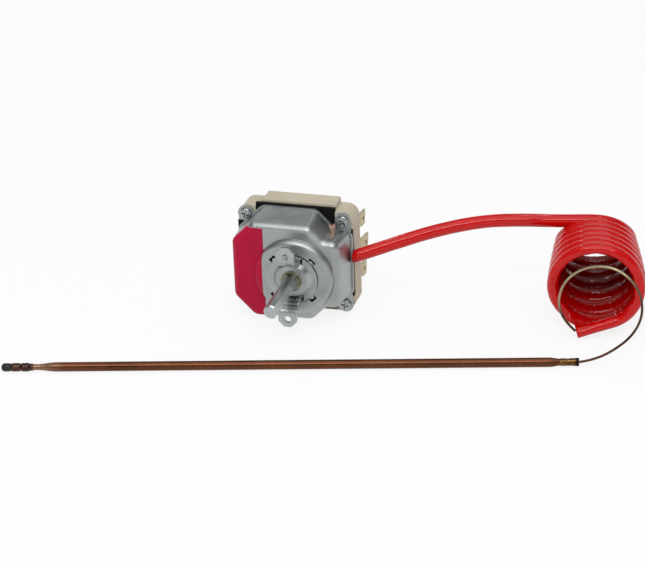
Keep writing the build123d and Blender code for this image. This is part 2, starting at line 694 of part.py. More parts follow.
def coil_section(rear, outward=0.0):
    """A turn's middle, its tall and back directions and radius, from front (0) to rear (1)."""
    turn, lean = radians(COIL_TURN_DEG), radians(COIL_FAN * rear ** 0.7)
    back = Vector(cos(turn), sin(turn), 0)
    right = Vector(sin(turn), -cos(turn), 0)
    radius = COIL_FRONT_R - (COIL_FRONT_R - COIL_BACK_R) * rear ** 1.3
    top = Vector(*COIL_CENTRE, COIL_TOP_Z - COIL_DROP * rear)
    top += back * (COIL_LENGTH * rear) + right * (COIL_DRIFT * rear)
    tall = Vector(0, 0, cos(lean)) - back * sin(lean)
    normal = back * cos(lean) + Vector(0, 0, sin(lean))
    middle = top - tall * radius + normal * outward
    return Plane(origin=middle, x_dir=right, z_dir=normal), radius


def coil_form(thickness):
    """The coil's outer or inner shape, as a loft through its leaning turns."""
    sections = []
    for step in range(COIL_SECTIONS):
        rear = step / (COIL_SECTIONS - 1)
        outward = WOUND_HALF_WIDTH * (2 * rear - 1) if rear in (0, 1) else 0.0
        plane, radius = coil_section(rear, outward)
        sections.append(plane * Circle(radius + thickness))
    return loft(sections, ruled=True)


def make_coil():
    """The wound sleeve as one fanned, tapering ring of its true outer shape."""
    return coil_form(WOUND_HALF_THICK) - coil_form(-WOUND_HALF_THICK)


def outside_coil(stretch):
    """The part of a stretch of sleeve that lies outside the coil, ended on its surface."""
    return (stretch - coil_form(WOUND_HALF_THICK)).solids().sort_by(SortBy.VOLUME)[-1]


def make_lead():
    """The sleeve from the housing to the coil, cut flush with the base's side."""
    lead = tube(SLEEVE_ROUTE, SLEEVE_R, "sleeve_lead")
    x, y, z = SLEEVE_EXIT
    room = 3 * SLEEVE_R
    lead -= block((x - room, x), (y - room, y + room), (z - room, z + room))
    return outside_coil(lead)


def make_tail():
    """The sleeve's cut end, from the foot of the coil's last turn."""
    plane, radius = coil_section(0.0)
    low = radians(TAIL_ANGLE)
    start = plane.origin + plane.x_dir * (radius * cos(low)) + Vector(0, 0, radius * sin(low))
    end = Vector(*TAIL_END, TABLE + SLEEVE_R)
    return outside_coil(tube([start, end], SLEEVE_R, "sleeve_tail"))


def bulb_place(solid):
    """Lay a piece that was turned about +X, tip at 0, along the bulb's line."""
    turn = radians(BULB_TURN_DEG)
    tip_x = BULB_RIGHT_END[0] - BULB_LENGTH * cos(turn)
    tip_y = BULB_RIGHT_END[1] - BULB_LENGTH * sin(turn)
    return Pos(tip_x, tip_y, BULB_Z) * Rot(0, 0, BULB_TURN_DEG) * solid


def bulb_turned(profile):
    """A solid turned about the bulb's axis from (distance from tip, radius) points."""
    outline = make_face(Polyline(*[(s, r, 0) for s, r in profile], close=True))
    return bulb_place(revolve(outline, Axis.X))


def make_bulb_cap():
    cap = Pos(BULB_CAP_LENGTH / 2, 0, 0) * Rot(0, 90, 0) * Cylinder(BULB_CAP_R, BULB_CAP_LENGTH)
    tip = cap.faces().sort_by(Axis.X)[0].edges()
    return bulb_place(fillet(tip, BULB_CAP_R - 0.3))


def make_bulb_body():
    """The copper bulb: two crimped lumps, a neck, a flare, the long tube, a shoulder."""
    start = BULB_CAP_LENGTH
    lump = (NECK_START - start) / 2
    points = [(start, 0), (start, CRIMP_NECK_R)]
    for k in range(2):
        low = start + k * lump
        points += [(low + 0.15 * lump, CRIMP_LUMP_R), (low + 0.8 * lump, CRIMP_LUMP_R),
                   (low + lump, CRIMP_NECK_R if k == 0 else NECK_R)]
    shoulder = BULB_LENGTH - COLLAR_LENGTH
    points += [(NECK_END, NECK_R), ((NECK_END + FLARE_END) / 2, (NECK_R + BULB_R) / 2 + 0.15),
               (FLARE_END, BULB_R), (shoulder - SHOULDER_LENGTH, BULB_R),
               (shoulder, COLLAR_R - 0.2), (shoulder, 0)]
    return bulb_turned(points)


def make_bulb_collar():
    """Two crimped rings where the capillary is brazed in."""
    start, end = BULB_LENGTH - COLLAR_LENGTH, BULB_LENGTH
    middle = (start + end) / 2
    return bulb_turned([
        (start, 0), (start, COLLAR_R - 0.1), (start + 0.4, COLLAR_R), (middle - 0.5, COLLAR_R),
        (middle - 0.1, COLLAR_R - 0.35), (middle + 0.3, COLLAR_R - 0.35), (middle + 0.7, COLLAR_R),
        (end - 1.2, COLLAR_R), (end, CAPILLARY_R + 0.25), (end, 0),
    ])


def capillary_route():
    """The chosen points, ended just clear of the collar."""
    turn = radians(BULB_TURN_DEG)
    end_x = BULB_RIGHT_END[0] + COLLAR_CLEARANCE * cos(turn)
    end_y = BULB_RIGHT_END[1] + COLLAR_CLEARANCE * sin(turn)
    return CAPILLARY_ROUTE + [(end_x, end_y, BULB_Z)]


head = {
    "front_housing": make_housing(),
    "label_film": make_film(),
    "mounting_bracket": make_bracket(),
    "spindle_bushing": make_bushing(),
    "spindle": make_spindle(),
    "retaining_ring": make_ring(),
    "setting_nut": make_setting_nut(),
    "guide_pins": make_guide_pins(),
    "diaphragm_capsule": make_capsule(),
    "capillary_inlet": make_capillary_inlet(),
    "insulating_plate": make_insulator(),
    "switch_base": make_base(),
    "rear_cover": make_cover(),
    "housing_screws": make_screws(),
    "transfer_pin": make_pin(),
    "transfer_bridge": make_bridge(),
}
for number, pole in enumerate(POLE_Y, start=1):
    head[f"fixed_terminal_{number}"] = make_fixed_terminal(pole)
    head[f"spring_terminal_{number}"] = make_spring_terminal(pole)
    head[f"contact_spring_{number}"] = make_contact_spring(pole)

pieces = {name: UPRIGHT * solid for name, solid in head.items()}
pieces["sleeve_lead"] = make_lead()
pieces["sleeve_coil"] = make_coil()
pieces["sleeve_tail"] = make_tail()
pieces["capillary_loop"] = tube(capillary_route(), CAPILLARY_R, "capillary_loop")
pieces["bulb_cap"] = make_bulb_cap()
pieces["bulb_body"] = make_bulb_body()
pieces["bulb_collar"] = make_bulb_collar()

for name, solid in pieces.items():
    export_step(solid, f"parts/{name}.step")
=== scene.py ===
"""Dresses the capillary thermostat: sleeve, capillary, bulb, fittings, finishes and studio."""
import json
import math

import bmesh
import bpy
from bpy.props import FloatProperty, FloatVectorProperty, PointerProperty
from mathutils import Matrix, Vector, noise


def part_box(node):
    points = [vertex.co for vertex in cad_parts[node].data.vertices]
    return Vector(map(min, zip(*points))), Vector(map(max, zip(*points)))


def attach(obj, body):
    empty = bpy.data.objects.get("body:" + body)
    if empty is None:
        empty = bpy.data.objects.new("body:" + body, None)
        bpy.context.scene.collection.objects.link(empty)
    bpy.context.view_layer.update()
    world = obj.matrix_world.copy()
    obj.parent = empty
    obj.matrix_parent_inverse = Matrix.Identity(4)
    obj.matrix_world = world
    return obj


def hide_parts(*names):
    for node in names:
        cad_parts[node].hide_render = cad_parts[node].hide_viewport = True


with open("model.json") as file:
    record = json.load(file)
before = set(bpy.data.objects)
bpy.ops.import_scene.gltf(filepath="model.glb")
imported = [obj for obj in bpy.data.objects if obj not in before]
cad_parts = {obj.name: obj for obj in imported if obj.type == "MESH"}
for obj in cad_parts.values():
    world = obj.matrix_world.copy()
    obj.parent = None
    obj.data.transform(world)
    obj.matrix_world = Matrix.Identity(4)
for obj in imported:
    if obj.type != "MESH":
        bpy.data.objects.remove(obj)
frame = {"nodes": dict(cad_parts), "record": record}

bl_info = {
    "name": "Capillary thermostat",
    "version": (1, 0, 0),
    "blender": (4, 5, 0),
    "location": "View3D > Sidebar > Thermostat",
    "description": "Models and finishes a three-pole capillary thermostat around its frame",
    "category": "Object",
}

MM = 0.001
FULL_TURN = 2 * math.pi
QUARTER_TURN = math.pi / 2

# The table's height, in metres
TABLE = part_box("bulb_body")[0].z

# The sleeve's free stretch from the housing to the coil, in mm
LEAD_ROUTE = [(21.3, 27.4, 4.0), (36.0, 32.4, 8.7), (54.0, 39.8, 13.6),
              (72.0, 46.8, 16.3), (88.0, 52.6, 15.7), (101.0, 57.2, 14.3)]

# Where the top of the coil's front turn and the sleeve's cut end lie, seen from above, in mm
COIL_FRONT = (123.6, 29.6)
TAIL_END = (116.3, 23.9)

# The bare capillary from the sleeve's cut end to the bulb, in mm
CAPILLARY_ROUTE = [(115.8, 23.6, -18.9), (111.2, 21.6, -13.5), (109.3, 19.0, -3.5), (113.0, 17.0, 7.5),
                   (122.5, 15.0, 15.2), (134.5, 13.0, 16.4), (143.5, 11.2, 9.8), (146.3, 9.4, -0.6),
                   (142.6, 7.4, -10.3), (134.0, 4.0, -17.2), (126.5, 0.9, -20.0)]
CAPILLARY_RADIUS = 0.52 * MM

# The bulb's line on the table and its sizes, in mm
BULB_RIGHT_END = (122.1, -0.5)
BULB_TURN = math.radians(13.1)
BULB_LENGTH, BULB_RADIUS, COLLAR_LENGTH = 234.0, 1.95, 7.8

# Stretches over which a mask goes from 0 to 1: an axis and two places on it, in metres
# Painted highlight: the bulb's neck and flare take a lighter copper colour over this stretch
NECK_PAINTED_HIGHLIGHT = ("X", -0.080, -0.088)
END_SOOTED = ("X", -0.0925, -0.0935)
# The collar's flared rim is coloured darker over this stretch
COLLAR_DARK_RIM = ("X", 0.1203, 0.1213)
# Painted reflection: where the capillary loop stands high on the left it takes a lighter brassy colour
LOOP_PAINTED_REFLECTION = (("X", 0.1455, 0.138), ("Z", -0.011, -0.002))
# Painted shade: towards the coil's rear, the sides that face into it take a darker red
COIL_PAINTED_SHADE = ("Y", 0.028, 0.060)

# The part of a noise's range that holds most of its values
NOISE_RANGE = (0.3, 0.7)
# A darker colour for one stretch of a finish, used at the collar's flared rim
DARK_STRETCH_COLOUR = (0.02, 0.01, 0.008)

# The lamps: name, place and size in metres, and which of the studio's powers each takes
LAMPS = (
    ("overhead", (0.10, -0.15, 1.0), (1.1, 0.8), "key_power"),
    ("front_strip", (0.15, -0.83, 0.95), (1.1, 0.22), "strip_power"),
    ("left_rear_spot", (-0.49, 0.79, 0.73), (0.09, 0.05), "rear_power"),
    ("right_rear_spot", (0.13, 0.73, 0.99), (0.09, 0.05), "rear_power"),
)
LAMP_TARGET = (0.04, 0.02, 0.0)

# How much of the floor is plain white to the camera; the rest keeps the object's shadow
FLOOR_GLOW = 0.85

# The white backdrop ends above the horizon, so that metal has dark to show: height and level
BACKDROP = ((0.0, 1.0), (0.16, 1.0), (0.34, 0.22), (0.58, 0.20), (0.80, 0.5), (1.0, 0.75))

# The photograph's viewpoint, from a fit of known points of the part
CAMERA_PLACE = Vector((296.2, -936.6, 470.0)) * MM
CAMERA_RIGHT = (0.962, 0.2711, -0.0343)
CAMERA_BACKWARD = (0.2591, -0.8651, 0.4296)
CAMERA_LENS = 148.085


def number_value(name, description, default):
    """A plain value that a user would change."""
    return FloatProperty(name=name, description=description, default=default)


def length_value(name, description, size):
    """A size in mm that a user would change."""
    return FloatProperty(name=name, description=description, default=size * MM, unit="LENGTH", precision=5)


def angle_value(name, description, degrees):
    """An angle that a user would change."""
    return FloatProperty(name=name, description=description, default=math.radians(degrees), unit="ROTATION")


def colour_value(name, description, default):
    """A colour that a user would change."""
    return FloatVectorProperty(name=name, description=description, default=default, subtype="COLOR",
                               min=0.0, max=1.0)


class SleeveSizes(bpy.types.PropertyGroup):
    """Sizes of the red sleeve and of its wound coil."""

    radius: length_value("Sleeve radius", "Outer radius of the sleeve's straight stretch", 2.75)
    wound_radius: length_value("Wound radius", "Half thickness of the sleeve across a turn", 2.3)
    wound_width: length_value("Wound half width", "Half width of the flattened sleeve along the coil", 2.75)
    wall: length_value("Wall", "Thickness of the sleeve's wall at its cut end", 0.55)
    turns: number_value("Turns", "Number of turns in the coil", 6.42)
    front_radius: length_value("Front radius", "Mean radius of the coil's front turns", 18.2)
    back_radius: length_value("Back radius", "Mean radius of the coil's rearmost turn", 14.6)
    last_radius: length_value("Last radius", "Mean radius where the last turn ends", 16.9)
    coil_length: length_value("Coil length", "Depth of the coil, measured along its turns' tops", 31.0)
    fan: angle_value("Fan", "Lean of the rearmost turn, whose foot trails behind", 34.0)
    heading: angle_value("Heading", "Direction of the coil's axis on the table", 99.2)


class FinishColours(bpy.types.PropertyGroup):
    """Colours that a user would change."""

    sleeve: colour_value("Sleeve", "Colour of the sleeve", (0.56, 0.001, 0.001))
    film: colour_value("Film", "Colour of the film on the front face", (0.44, 0.001, 0.035))
    moulding: colour_value("Moulding", "Colour of the moulded switch base", (0.54, 0.48, 0.36))
    copper: colour_value("Copper", "Colour of the dulled copper bulb", (0.135, 0.05, 0.024))
    steel: colour_value("Steel", "Colour of the plated steel", (0.38, 0.405, 0.40))


class StudioValues(bpy.types.PropertyGroup):
    """The studio's light."""

    key_power: number_value("Key power", "Power of the overhead lamp", 3.2)
    strip_power: number_value("Strip power", "Power of the long front lamp", 5.8)
    rear_power: number_value("Rear power", "Power of each of the two spots behind the part", 0.3)
    world_strength: number_value("World strength", "Light from the pale surroundings", 0.5)


SCENE_VALUES = {"thermostat_sleeve": SleeveSizes, "thermostat_colours": FinishColours,
                "thermostat_studio": StudioValues}


# Modelling helpers


def held(value):
    """A value held between 0 and 1."""
    return min(1.0, max(0.0, value))


def ease(share):
    """A share that starts and ends gently."""
    return share * share * (3 - 2 * share)


def fresh_start():
    """Leave edit mode and deselect everything, so an operator acts on its own piece only."""
    if bpy.context.object and bpy.context.object.mode != "OBJECT":
        bpy.ops.object.mode_set(mode="OBJECT")
    bpy.ops.object.select_all(action="DESELECT")


def pick(obj):
    """Select one piece alone and make it the active one."""
    fresh_start()
    obj.select_set(True)
    bpy.context.view_layer.objects.active = obj


def add_object(name, data):
    """A new object in the scene for a mesh, curve, lamp or camera."""
    obj = bpy.data.objects.new(name, data)
    bpy.context.collection.objects.link(obj)
    return obj


def settle(obj):
    """Put a finished piece's place into its mesh, and make its normals point outwards."""
    pick(obj)
    bpy.ops.object.transform_apply(location=True, rotation=True, scale=True)
    bpy.ops.object.mode_set(mode="EDIT")
    bpy.ops.mesh.select_all(action="SELECT")
    bpy.ops.mesh.remove_doubles(threshold=0.002 * MM)
    bpy.ops.mesh.normals_make_consistent(inside=False)
    bpy.ops.object.mode_set(mode="OBJECT")


def smooth(obj, angle):
    """Shade a piece smooth wherever it bends less than an angle in degrees."""
    pick(obj)
    bpy.ops.object.shade_smooth_by_angle(angle=math.radians(angle))


def stand_for(obj, slot, *nodes, body="root", finish_name=None):
    """The piece rides on a body, takes its finish and hides the nodes it stands for."""
    obj.data.materials.clear()
    obj.data.materials.append(material_for(finish_name or slot))
    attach(obj, body)
    if nodes:
        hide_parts(*nodes)


def steered_curve(name, route, resolution):
    """A smooth curve that a route's points steer."""
    curve = bpy.data.curves.new(name, "CURVE")
    curve.dimensions = "3D"
    curve.resolution_u = resolution
    spline = curve.splines.new("NURBS")
    spline.points.add(len(route) - 1)
    for point, place in zip(spline.points, route):
        point.co = (*place, 1.0)
    spline.order_u = 3
    spline.use_endpoint_u = True
    return curve


def curve_points(name, route, resolution):
    """Points along the smooth curve that a route's points steer."""
    curve = steered_curve(name, route, resolution)
    holder = add_object(name, curve)
    line = bpy.data.meshes.new_from_object(holder)
    points = [vertex.co.copy() for vertex in line.vertices]
    bpy.data.objects.remove(holder)
    bpy.data.curves.remove(curve)
    bpy.data.meshes.remove(line)
    return points


def path_length(points):
    return sum((b - a).length for a, b in zip(points, points[1:]))


def swept_tube(name, centres, sides_of):
    """A tube mesh through rings of points; its UV map holds the share round it and metres along it."""
    mesh = bpy.data.meshes.new(name)
    form = bmesh.new()
    uv = form.loops.layers.uv.new("along")
    rows = [[form.verts.new(centre + offset) for offset in sides_of(index)]
            for index, centre in enumerate(centres)]
    columns = len(rows[0])
    run = 0.0
    for index, (row, following) in enumerate(zip(rows, rows[1:])):
        step = (centres[index + 1] - centres[index]).length
        for side in range(columns):
            after = (side + 1) % columns
            face = form.faces.new((row[side], row[after], following[after], following[side]))
            face.smooth = True
            spots = ((side, run), (side + 1, run), (side + 1, run + step), (side, run + step))
            for loop, (u, v) in zip(face.loops, spots):
                loop[uv].uv = (u / columns, v)
        run += step
    form.faces.new(list(reversed(rows[0])))
    form.faces.new(rows[-1])
    bmesh.ops.recalc_face_normals(form, faces=form.faces[:])
    form.to_mesh(mesh)
    form.free()
    return add_object(name, mesh)


def apply_step(obj, kind, **values):
    """Add a modifier with its values and apply it."""
    step = obj.modifiers.new(kind, kind)
    for key, value in values.items():
        setattr(step, key, value)
    pick(obj)
    bpy.ops.object.modifier_apply(modifier=step.name)


def round_edges(obj, width, segments, angle):
    """Round a piece's edges sharper than an angle in degrees; the width is in mm."""
    apply_step(obj, "BEVEL", width=width * MM, segments=segments, limit_method="ANGLE",
               angle_limit=math.radians(angle))


def cut_away(obj, tool):
    """Cut a tool's form out of a piece, and remove the tool."""
    apply_step(obj, "BOOLEAN", operation="DIFFERENCE", solver="EXACT", object=tool)
    bpy.data.objects.remove(tool)


def sheet_piece(name, outline, thickness, edge, place):
    """A flat outline in mm, given its thickness and rounded edges, then put in its place."""
    mesh = bpy.data.meshes.new(name)
    form = bmesh.new()
    form.faces.new([form.verts.new((x * MM, y * MM, 0)) for x, y in outline])
    form.to_mesh(mesh)
    form.free()
    obj = add_object(name, mesh)
    apply_step(obj, "SOLIDIFY", thickness=thickness * MM, offset=0)
    round_edges(obj, edge, 2, 40)
    obj.data.transform(place)
    return obj


def turned_piece(name, stations, place, segments, hollow=False):
    """A piece drawn out from a circle: stations are (distance, radius) along +X, in mm. A hollow
    one ends at the station that it began with, so its skin closes on itself."""
    fresh_start()
    first = stations[0]
    bpy.ops.mesh.primitive_circle_add(vertices=segments, radius=first[1] * MM,
                                      fill_type="NOTHING" if hollow else "NGON",
                                      location=(first[0] * MM, 0, 0), rotation=(0, QUARTER_TURN, 0))
    obj = bpy.context.object
    obj.name = obj.data.name = name
    bpy.ops.object.transform_apply(location=True, rotation=True, scale=True)
    bpy.ops.object.mode_set(mode="EDIT")
    bpy.ops.mesh.select_all(action="SELECT")
    for before, after in zip(stations, stations[1:]):
        step = ((after[0] - before[0]) * MM, 0, 0)
        bpy.ops.mesh.extrude_region_move(TRANSFORM_OT_translate={"value": step})
        factor = after[1] / before[1]
        bpy.ops.transform.resize(value=(1, factor, factor), center_override=(after[0] * MM, 0, 0))
    bpy.ops.object.mode_set(mode="OBJECT")
    obj.data.transform(place)
    settle(obj)
    return obj


def reshape(obj, place, change):
    """Move a piece's points by a rule that works along the piece's own axis."""
    back = place.inverted()
    for vertex in obj.data.vertices:
        here = back @ vertex.co
        change(here)
        vertex.co = place @ here


def joined(name, parts):
    """Several objects as one piece."""
    pick(parts[0])
    for part in parts:
        part.select_set(True)
    bpy.ops.object.join()
    parts[0].name = parts[0].data.name = name
    return parts[0]


def block_tool(place, size, turn):
    """A block to cut with: its place and size in mm, and its turn about the head's axis."""
    fresh_start()
    bpy.ops.mesh.primitive_cube_add(size=1, location=Vector(place) * MM, rotation=(0, turn, 0),
                                    scale=Vector(size) * MM)
    return bpy.context.object


def shifted(x, y, z):
    """A place in mm."""
    return Matrix.Translation(Vector((x, y, z)) * MM)


def outward(x, y):
    """Place whose X axis points out of the head's face, through a point of it in mm."""
    return shifted(x, 0, y) @ Matrix.Rotation(-QUARTER_TURN, 4, "Z")


def bulb_place():
    """The bulb's own axis, its tip at zero, laid on the table."""
    x, y = BULB_RIGHT_END
    tip = Vector((x - BULB_LENGTH * math.cos(BULB_TURN), y - BULB_LENGTH * math.sin(BULB_TURN), 0)) * MM
    tip.z = TABLE + BULB_RADIUS * MM
    return Matrix.Translation(tip) @ Matrix.Rotation(BULB_TURN, 4, "Z")


# Shader nodes and groups


def feed(tree, socket, value):
    """Link a socket from another one, or set its value; a colour is made opaque."""
    if isinstance(value, bpy.types.NodeSocket):
        tree.links.new(value, socket)
    else:
        socket.default_value = (*value, 1.0) if socket.type == "RGBA" else value


def node(tree, kind, *fed, **values):
    """A node with its first inputs fed in order, and its other inputs and properties by name."""
    made = tree.nodes.new(kind)
    for socket, value in zip(made.inputs, fed):
        feed(tree, socket, value)
    for key, value in values.items():
        label = key.replace("_", " ")
        if label in made.inputs:
            feed(tree, made.inputs[label], value)
        else:
            setattr(made, key, value)
    return made


def combine(tree, operation, first, second):
    return node(tree, "ShaderNodeMath", first, second, operation=operation).outputs["Value"]


def remap(tree, value, low, high, to_low=0.0, to_high=1.0):
    """A value carried from one range to another, and held inside it."""
    return node(tree, "ShaderNodeMapRange", clamp=True, Value=value, From_Min=low, From_Max=high,
                To_Min=to_low, To_Max=to_high).outputs["Result"]


def object_place(tree):
    return node(tree, "ShaderNodeTexCoord").outputs["Object"]


def group_tree(name, inputs, outputs):
    """An empty node group, the sockets that it is given and those that it puts out."""
    tree = bpy.data.node_groups.new(name, "ShaderNodeTree")
    for label, default in inputs:
        socket = tree.interface.new_socket(label, in_out="INPUT", socket_type="NodeSocketFloat")
        socket.default_value = default
    for label in outputs:
        tree.interface.new_socket(label, in_out="OUTPUT", socket_type="NodeSocketFloat")
    return tree, tree.nodes.new("NodeGroupInput").outputs, tree.nodes.new("NodeGroupOutput").inputs


def build_grain():
    """Fine grain: a height from noise at one scale, and a slow mottling mask."""
    tree, given, result = group_tree(
        "fine_grain", [("Scale", 900.0), ("Stretch", 1.0), ("Mottle Scale", 60.0)], ["Height", "Mottle"])
    place = object_place(tree)
    stretch = node(tree, "ShaderNodeCombineXYZ", 1.0, 1.0, given["Stretch"])
    scaled = node(tree, "ShaderNodeVectorMath", place, stretch.outputs["Vector"], operation="MULTIPLY")
    fine = node(tree, "ShaderNodeTexNoise", Vector=scaled.outputs["Vector"], Scale=given["Scale"],
                Detail=4.0, Roughness=0.62)
    slow = node(tree, "ShaderNodeTexNoise", Vector=place, Scale=given["Mottle Scale"],
                Detail=3.0, Roughness=0.55)
    feed(tree, result["Height"], fine.outputs["Fac"])
    feed(tree, result["Mottle"], slow.outputs["Fac"])
    return tree


def build_edge_wear():
    """A mask that is strong along a piece's edges, broken up by noise."""
    tree, given, result = group_tree("edge_wear", [("Radius", 0.35 * MM), ("Break Up", 700.0)], ["Mask"])
    shape = node(tree, "ShaderNodeNewGeometry")
    soft = node(tree, "ShaderNodeBevel", samples=4, Radius=given["Radius"])
    apart = node(tree, "ShaderNodeVectorMath", shape.outputs["Normal"], soft.outputs["Normal"],
                 operation="DOT_PRODUCT")
    sharp = remap(tree, apart.outputs["Value"], 0.985, 0.86)
    broken = node(tree, "ShaderNodeTexNoise", Vector=object_place(tree), Scale=given["Break Up"], Detail=4.0)
    lift = remap(tree, broken.outputs["Fac"], 0.38, 0.62)
    feed(tree, result["Mask"], combine(tree, "MULTIPLY", sharp, lift))
    return tree


def build_specks():
    """Scattered small specks of dirt or pits, as a mask."""
    tree, given, result = group_tree("specks", [("Scale", 500.0), ("Amount", 0.15)], ["Mask"])
    place = object_place(tree)
    cells = node(tree, "ShaderNodeTexVoronoi", Vector=place, Scale=given["Scale"])
    patches = node(tree, "ShaderNodeTexNoise", Vector=place, Scale=120.0, Detail=2.0)
    size = combine(tree, "MULTIPLY", given["Amount"], patches.outputs["Fac"])
    feed(tree, result["Mask"], combine(tree, "LESS_THAN", cells.outputs["Distance"], size))
    return tree


GROUPS = {"fine_grain": build_grain, "edge_wear": build_edge_wear, "specks": build_specks}


def place_group(tree, name, **values):
    """A shared group in a material's tree, built the first time it is asked for."""
    shared = bpy.data.node_groups.get(name) or GROUPS[name]()
    made = tree.nodes.new("ShaderNodeGroup")
    made.node_tree = shared
    for key, value in values.items():
        made.inputs[key.replace("_", " ")].default_value = value
    return made.outputs


# Materials


def shade(colour, factor):
    return tuple(min(1.0, channel * factor) for channel in colour)


def blend_colour(tree, mask, first, second):
    """A colour that goes from first to second with a mask; either may be a socket."""
    mix = node(tree, "ShaderNodeMix", data_type="RGBA")
    for index, value in ((0, mask), (6, first), (7, second)):
        feed(tree, mix.inputs[index], value)
    return mix.outputs[2]


def place_masks(tree, *stretches):
    """The product of masks that each go from 0 to 1 between two places on an axis."""
    parts = node(tree, "ShaderNodeSeparateXYZ", object_place(tree)).outputs
    mask = None
    for axis, low, high in stretches:
        ramp = remap(tree, parts[axis], low, high)
        mask = combine(tree, "MULTIPLY", mask, ramp) if mask else ramp
    return mask


def bare_tree(owner, output_kind):
    """A material's or world's empty tree, and its output."""
    owner.use_nodes = True
    owner.node_tree.nodes.clear()
    return owner.node_tree, owner.node_tree.nodes.new(output_kind)


def new_material(name, **values):
    """A material with its shader, whose plain values are set on the shader's own sockets."""
    material = bpy.data.materials.new(name)
    tree, output = bare_tree(material, "ShaderNodeOutputMaterial")
    shader = node(tree, "ShaderNodeBsdfPrincipled", **values)
    feed(tree, output.inputs["Surface"], shader.outputs["BSDF"])
    return material, tree, shader


def dress(tree, shader, colour, roughness, height, strength, depth):
    """Lead a colour, a roughness and a relief of a depth in mm into a shader."""
    relief = node(tree, "ShaderNodeBump", Strength=strength, Distance=depth * MM, Height=height)
    feed(tree, shader.inputs["Base Color"], colour)
    feed(tree, shader.inputs["Roughness"], roughness)
    feed(tree, shader.inputs["Normal"], relief.outputs["Normal"])


def finish(name, colour, roughness, metallic=0.0, grain=900.0, bump=0.02, mottle=0.10, stretch=1.0,
           wear=None, wear_colour=None, specks=0.0, speck_colour=(0.05, 0.045, 0.04), specular=0.5,
           mottle_scale=60.0, dark_stretch=None):
    """A worn surface: grain in the bump, mottled colour and roughness, worn edges, specks, and a
    darker colour on one stretch."""
    material, tree, shader = new_material(name, Metallic=metallic, Specular_IOR_Level=specular)
    texture = place_group(tree, "fine_grain", Scale=grain, Stretch=stretch, Mottle_Scale=mottle_scale)
    surface = blend_colour(tree, remap(tree, texture["Mottle"], *NOISE_RANGE),
                           shade(colour, 1 - mottle), shade(colour, 1 + mottle))
    if specks:
        dirt = place_group(tree, "specks", Scale=420.0, Amount=specks)
        surface = blend_colour(tree, dirt["Mask"], surface, speck_colour)
    if wear:
        edges = place_group(tree, "edge_wear", Radius=wear * MM)
        surface = blend_colour(tree, edges["Mask"], surface, wear_colour)
    # A darker colour over one stretch, such as the collar's flared rim
    if dark_stretch:
        surface = blend_colour(tree, place_masks(tree, dark_stretch), surface, DARK_STRETCH_COLOUR)
    rough = remap(tree, texture["Mottle"], *NOISE_RANGE, roughness * 0.85, min(1.0, roughness * 1.18))
    dress(tree, shader, surface, rough, texture["Height"], 1.0, bump)
    return material


def bulb_material(copper):
    """Drawn copper: blackened at the crimped end, lighter at the neck as a painted highlight, dull
    elsewhere.
    """
    material, tree, shader = new_material("drawn_copper", Metallic=0.95)
    texture = place_group(tree, "fine_grain", Scale=1800.0)
    streaks = remap(tree, texture["Mottle"], *NOISE_RANGE)
    dull = blend_colour(tree, streaks, shade(copper, 0.7), shade(copper, 1.05))
    # Painted highlight: a lighter copper colour all round the neck
    dull = blend_colour(tree, place_masks(tree, NECK_PAINTED_HIGHLIGHT), dull, (0.23, 0.125, 0.078))
    sooted = blend_colour(tree, streaks, (0.022, 0.012, 0.011), (0.10, 0.05, 0.038))
    surface = blend_colour(tree, place_masks(tree, END_SOOTED), dull, sooted)
    dirt = place_group(tree, "specks", Scale=420.0, Amount=0.12)
    surface = blend_colour(tree, dirt["Mask"], surface, (0.05, 0.03, 0.022))
    rough = remap(tree, texture["Mottle"], *NOISE_RANGE, 0.2, 0.32)
    dress(tree, shader, surface, rough, texture["Height"], 1.0, 0.02)
    return material


def capillary_material():
    """Bare copper wire, browned, with a painted reflection in lighter brass where it stands high on the
    left.
    """
    material, tree, shader = new_material("bare_capillary", Metallic=1.0)
    texture = place_group(tree, "fine_grain", Scale=2500.0, Mottle_Scale=120.0)
    browned = blend_colour(tree, texture["Mottle"], (0.05, 0.022, 0.014), (0.12, 0.055, 0.03))
    # Painted reflection: the lighter brass stands in for the reflection on the loop's high left part
    bright = blend_colour(tree, texture["Mottle"], (0.28, 0.24, 0.13), (0.52, 0.46, 0.29))
    surface = blend_colour(tree, place_masks(tree, *LOOP_PAINTED_REFLECTION), browned, bright)
    rough = remap(tree, texture["Mottle"], *NOISE_RANGE, 0.24, 0.34)
    dress(tree, shader, surface, rough, texture["Height"], 0.6, 0.02)
    return material


def sleeve_material(colour):
    """Glossy red sleeving: fine wrinkles across it, and painted shade, a darker red, deep inside the coil.
    """
    material, tree, shader = new_material("red_sleeving", Specular_IOR_Level=0.34)
    # Painted shade: sides that face into the coil, towards its rear, take a darker red
    inside = node(tree, "ShaderNodeAttribute", attribute_name="inside")
    deep = combine(tree, "MULTIPLY", inside.outputs["Fac"], place_masks(tree, COIL_PAINTED_SHADE))
    along = node(tree, "ShaderNodeUVMap", uv_map="along")
    stretched = node(tree, "ShaderNodeMapping", along.outputs["UV"], Scale=(5.0, 300.0, 1.0))
    wrinkles = node(tree, "ShaderNodeTexNoise", Vector=stretched.outputs["Vector"], Scale=1.0,
                    Detail=0.6, Roughness=0.5).outputs["Fac"]
    texture = place_group(tree, "fine_grain", Scale=1400.0, Mottle_Scale=140.0)
    surface = blend_colour(tree, texture["Mottle"], shade(colour, 0.85), shade(colour, 1.12))
    # Painted shade deep inside the coil
    surface = blend_colour(tree, deep, surface, shade(colour, 0.32))
    dress(tree, shader, surface, remap(tree, wrinkles, *NOISE_RANGE, 0.06, 0.12), wrinkles, 0.4, 0.04)
    return material


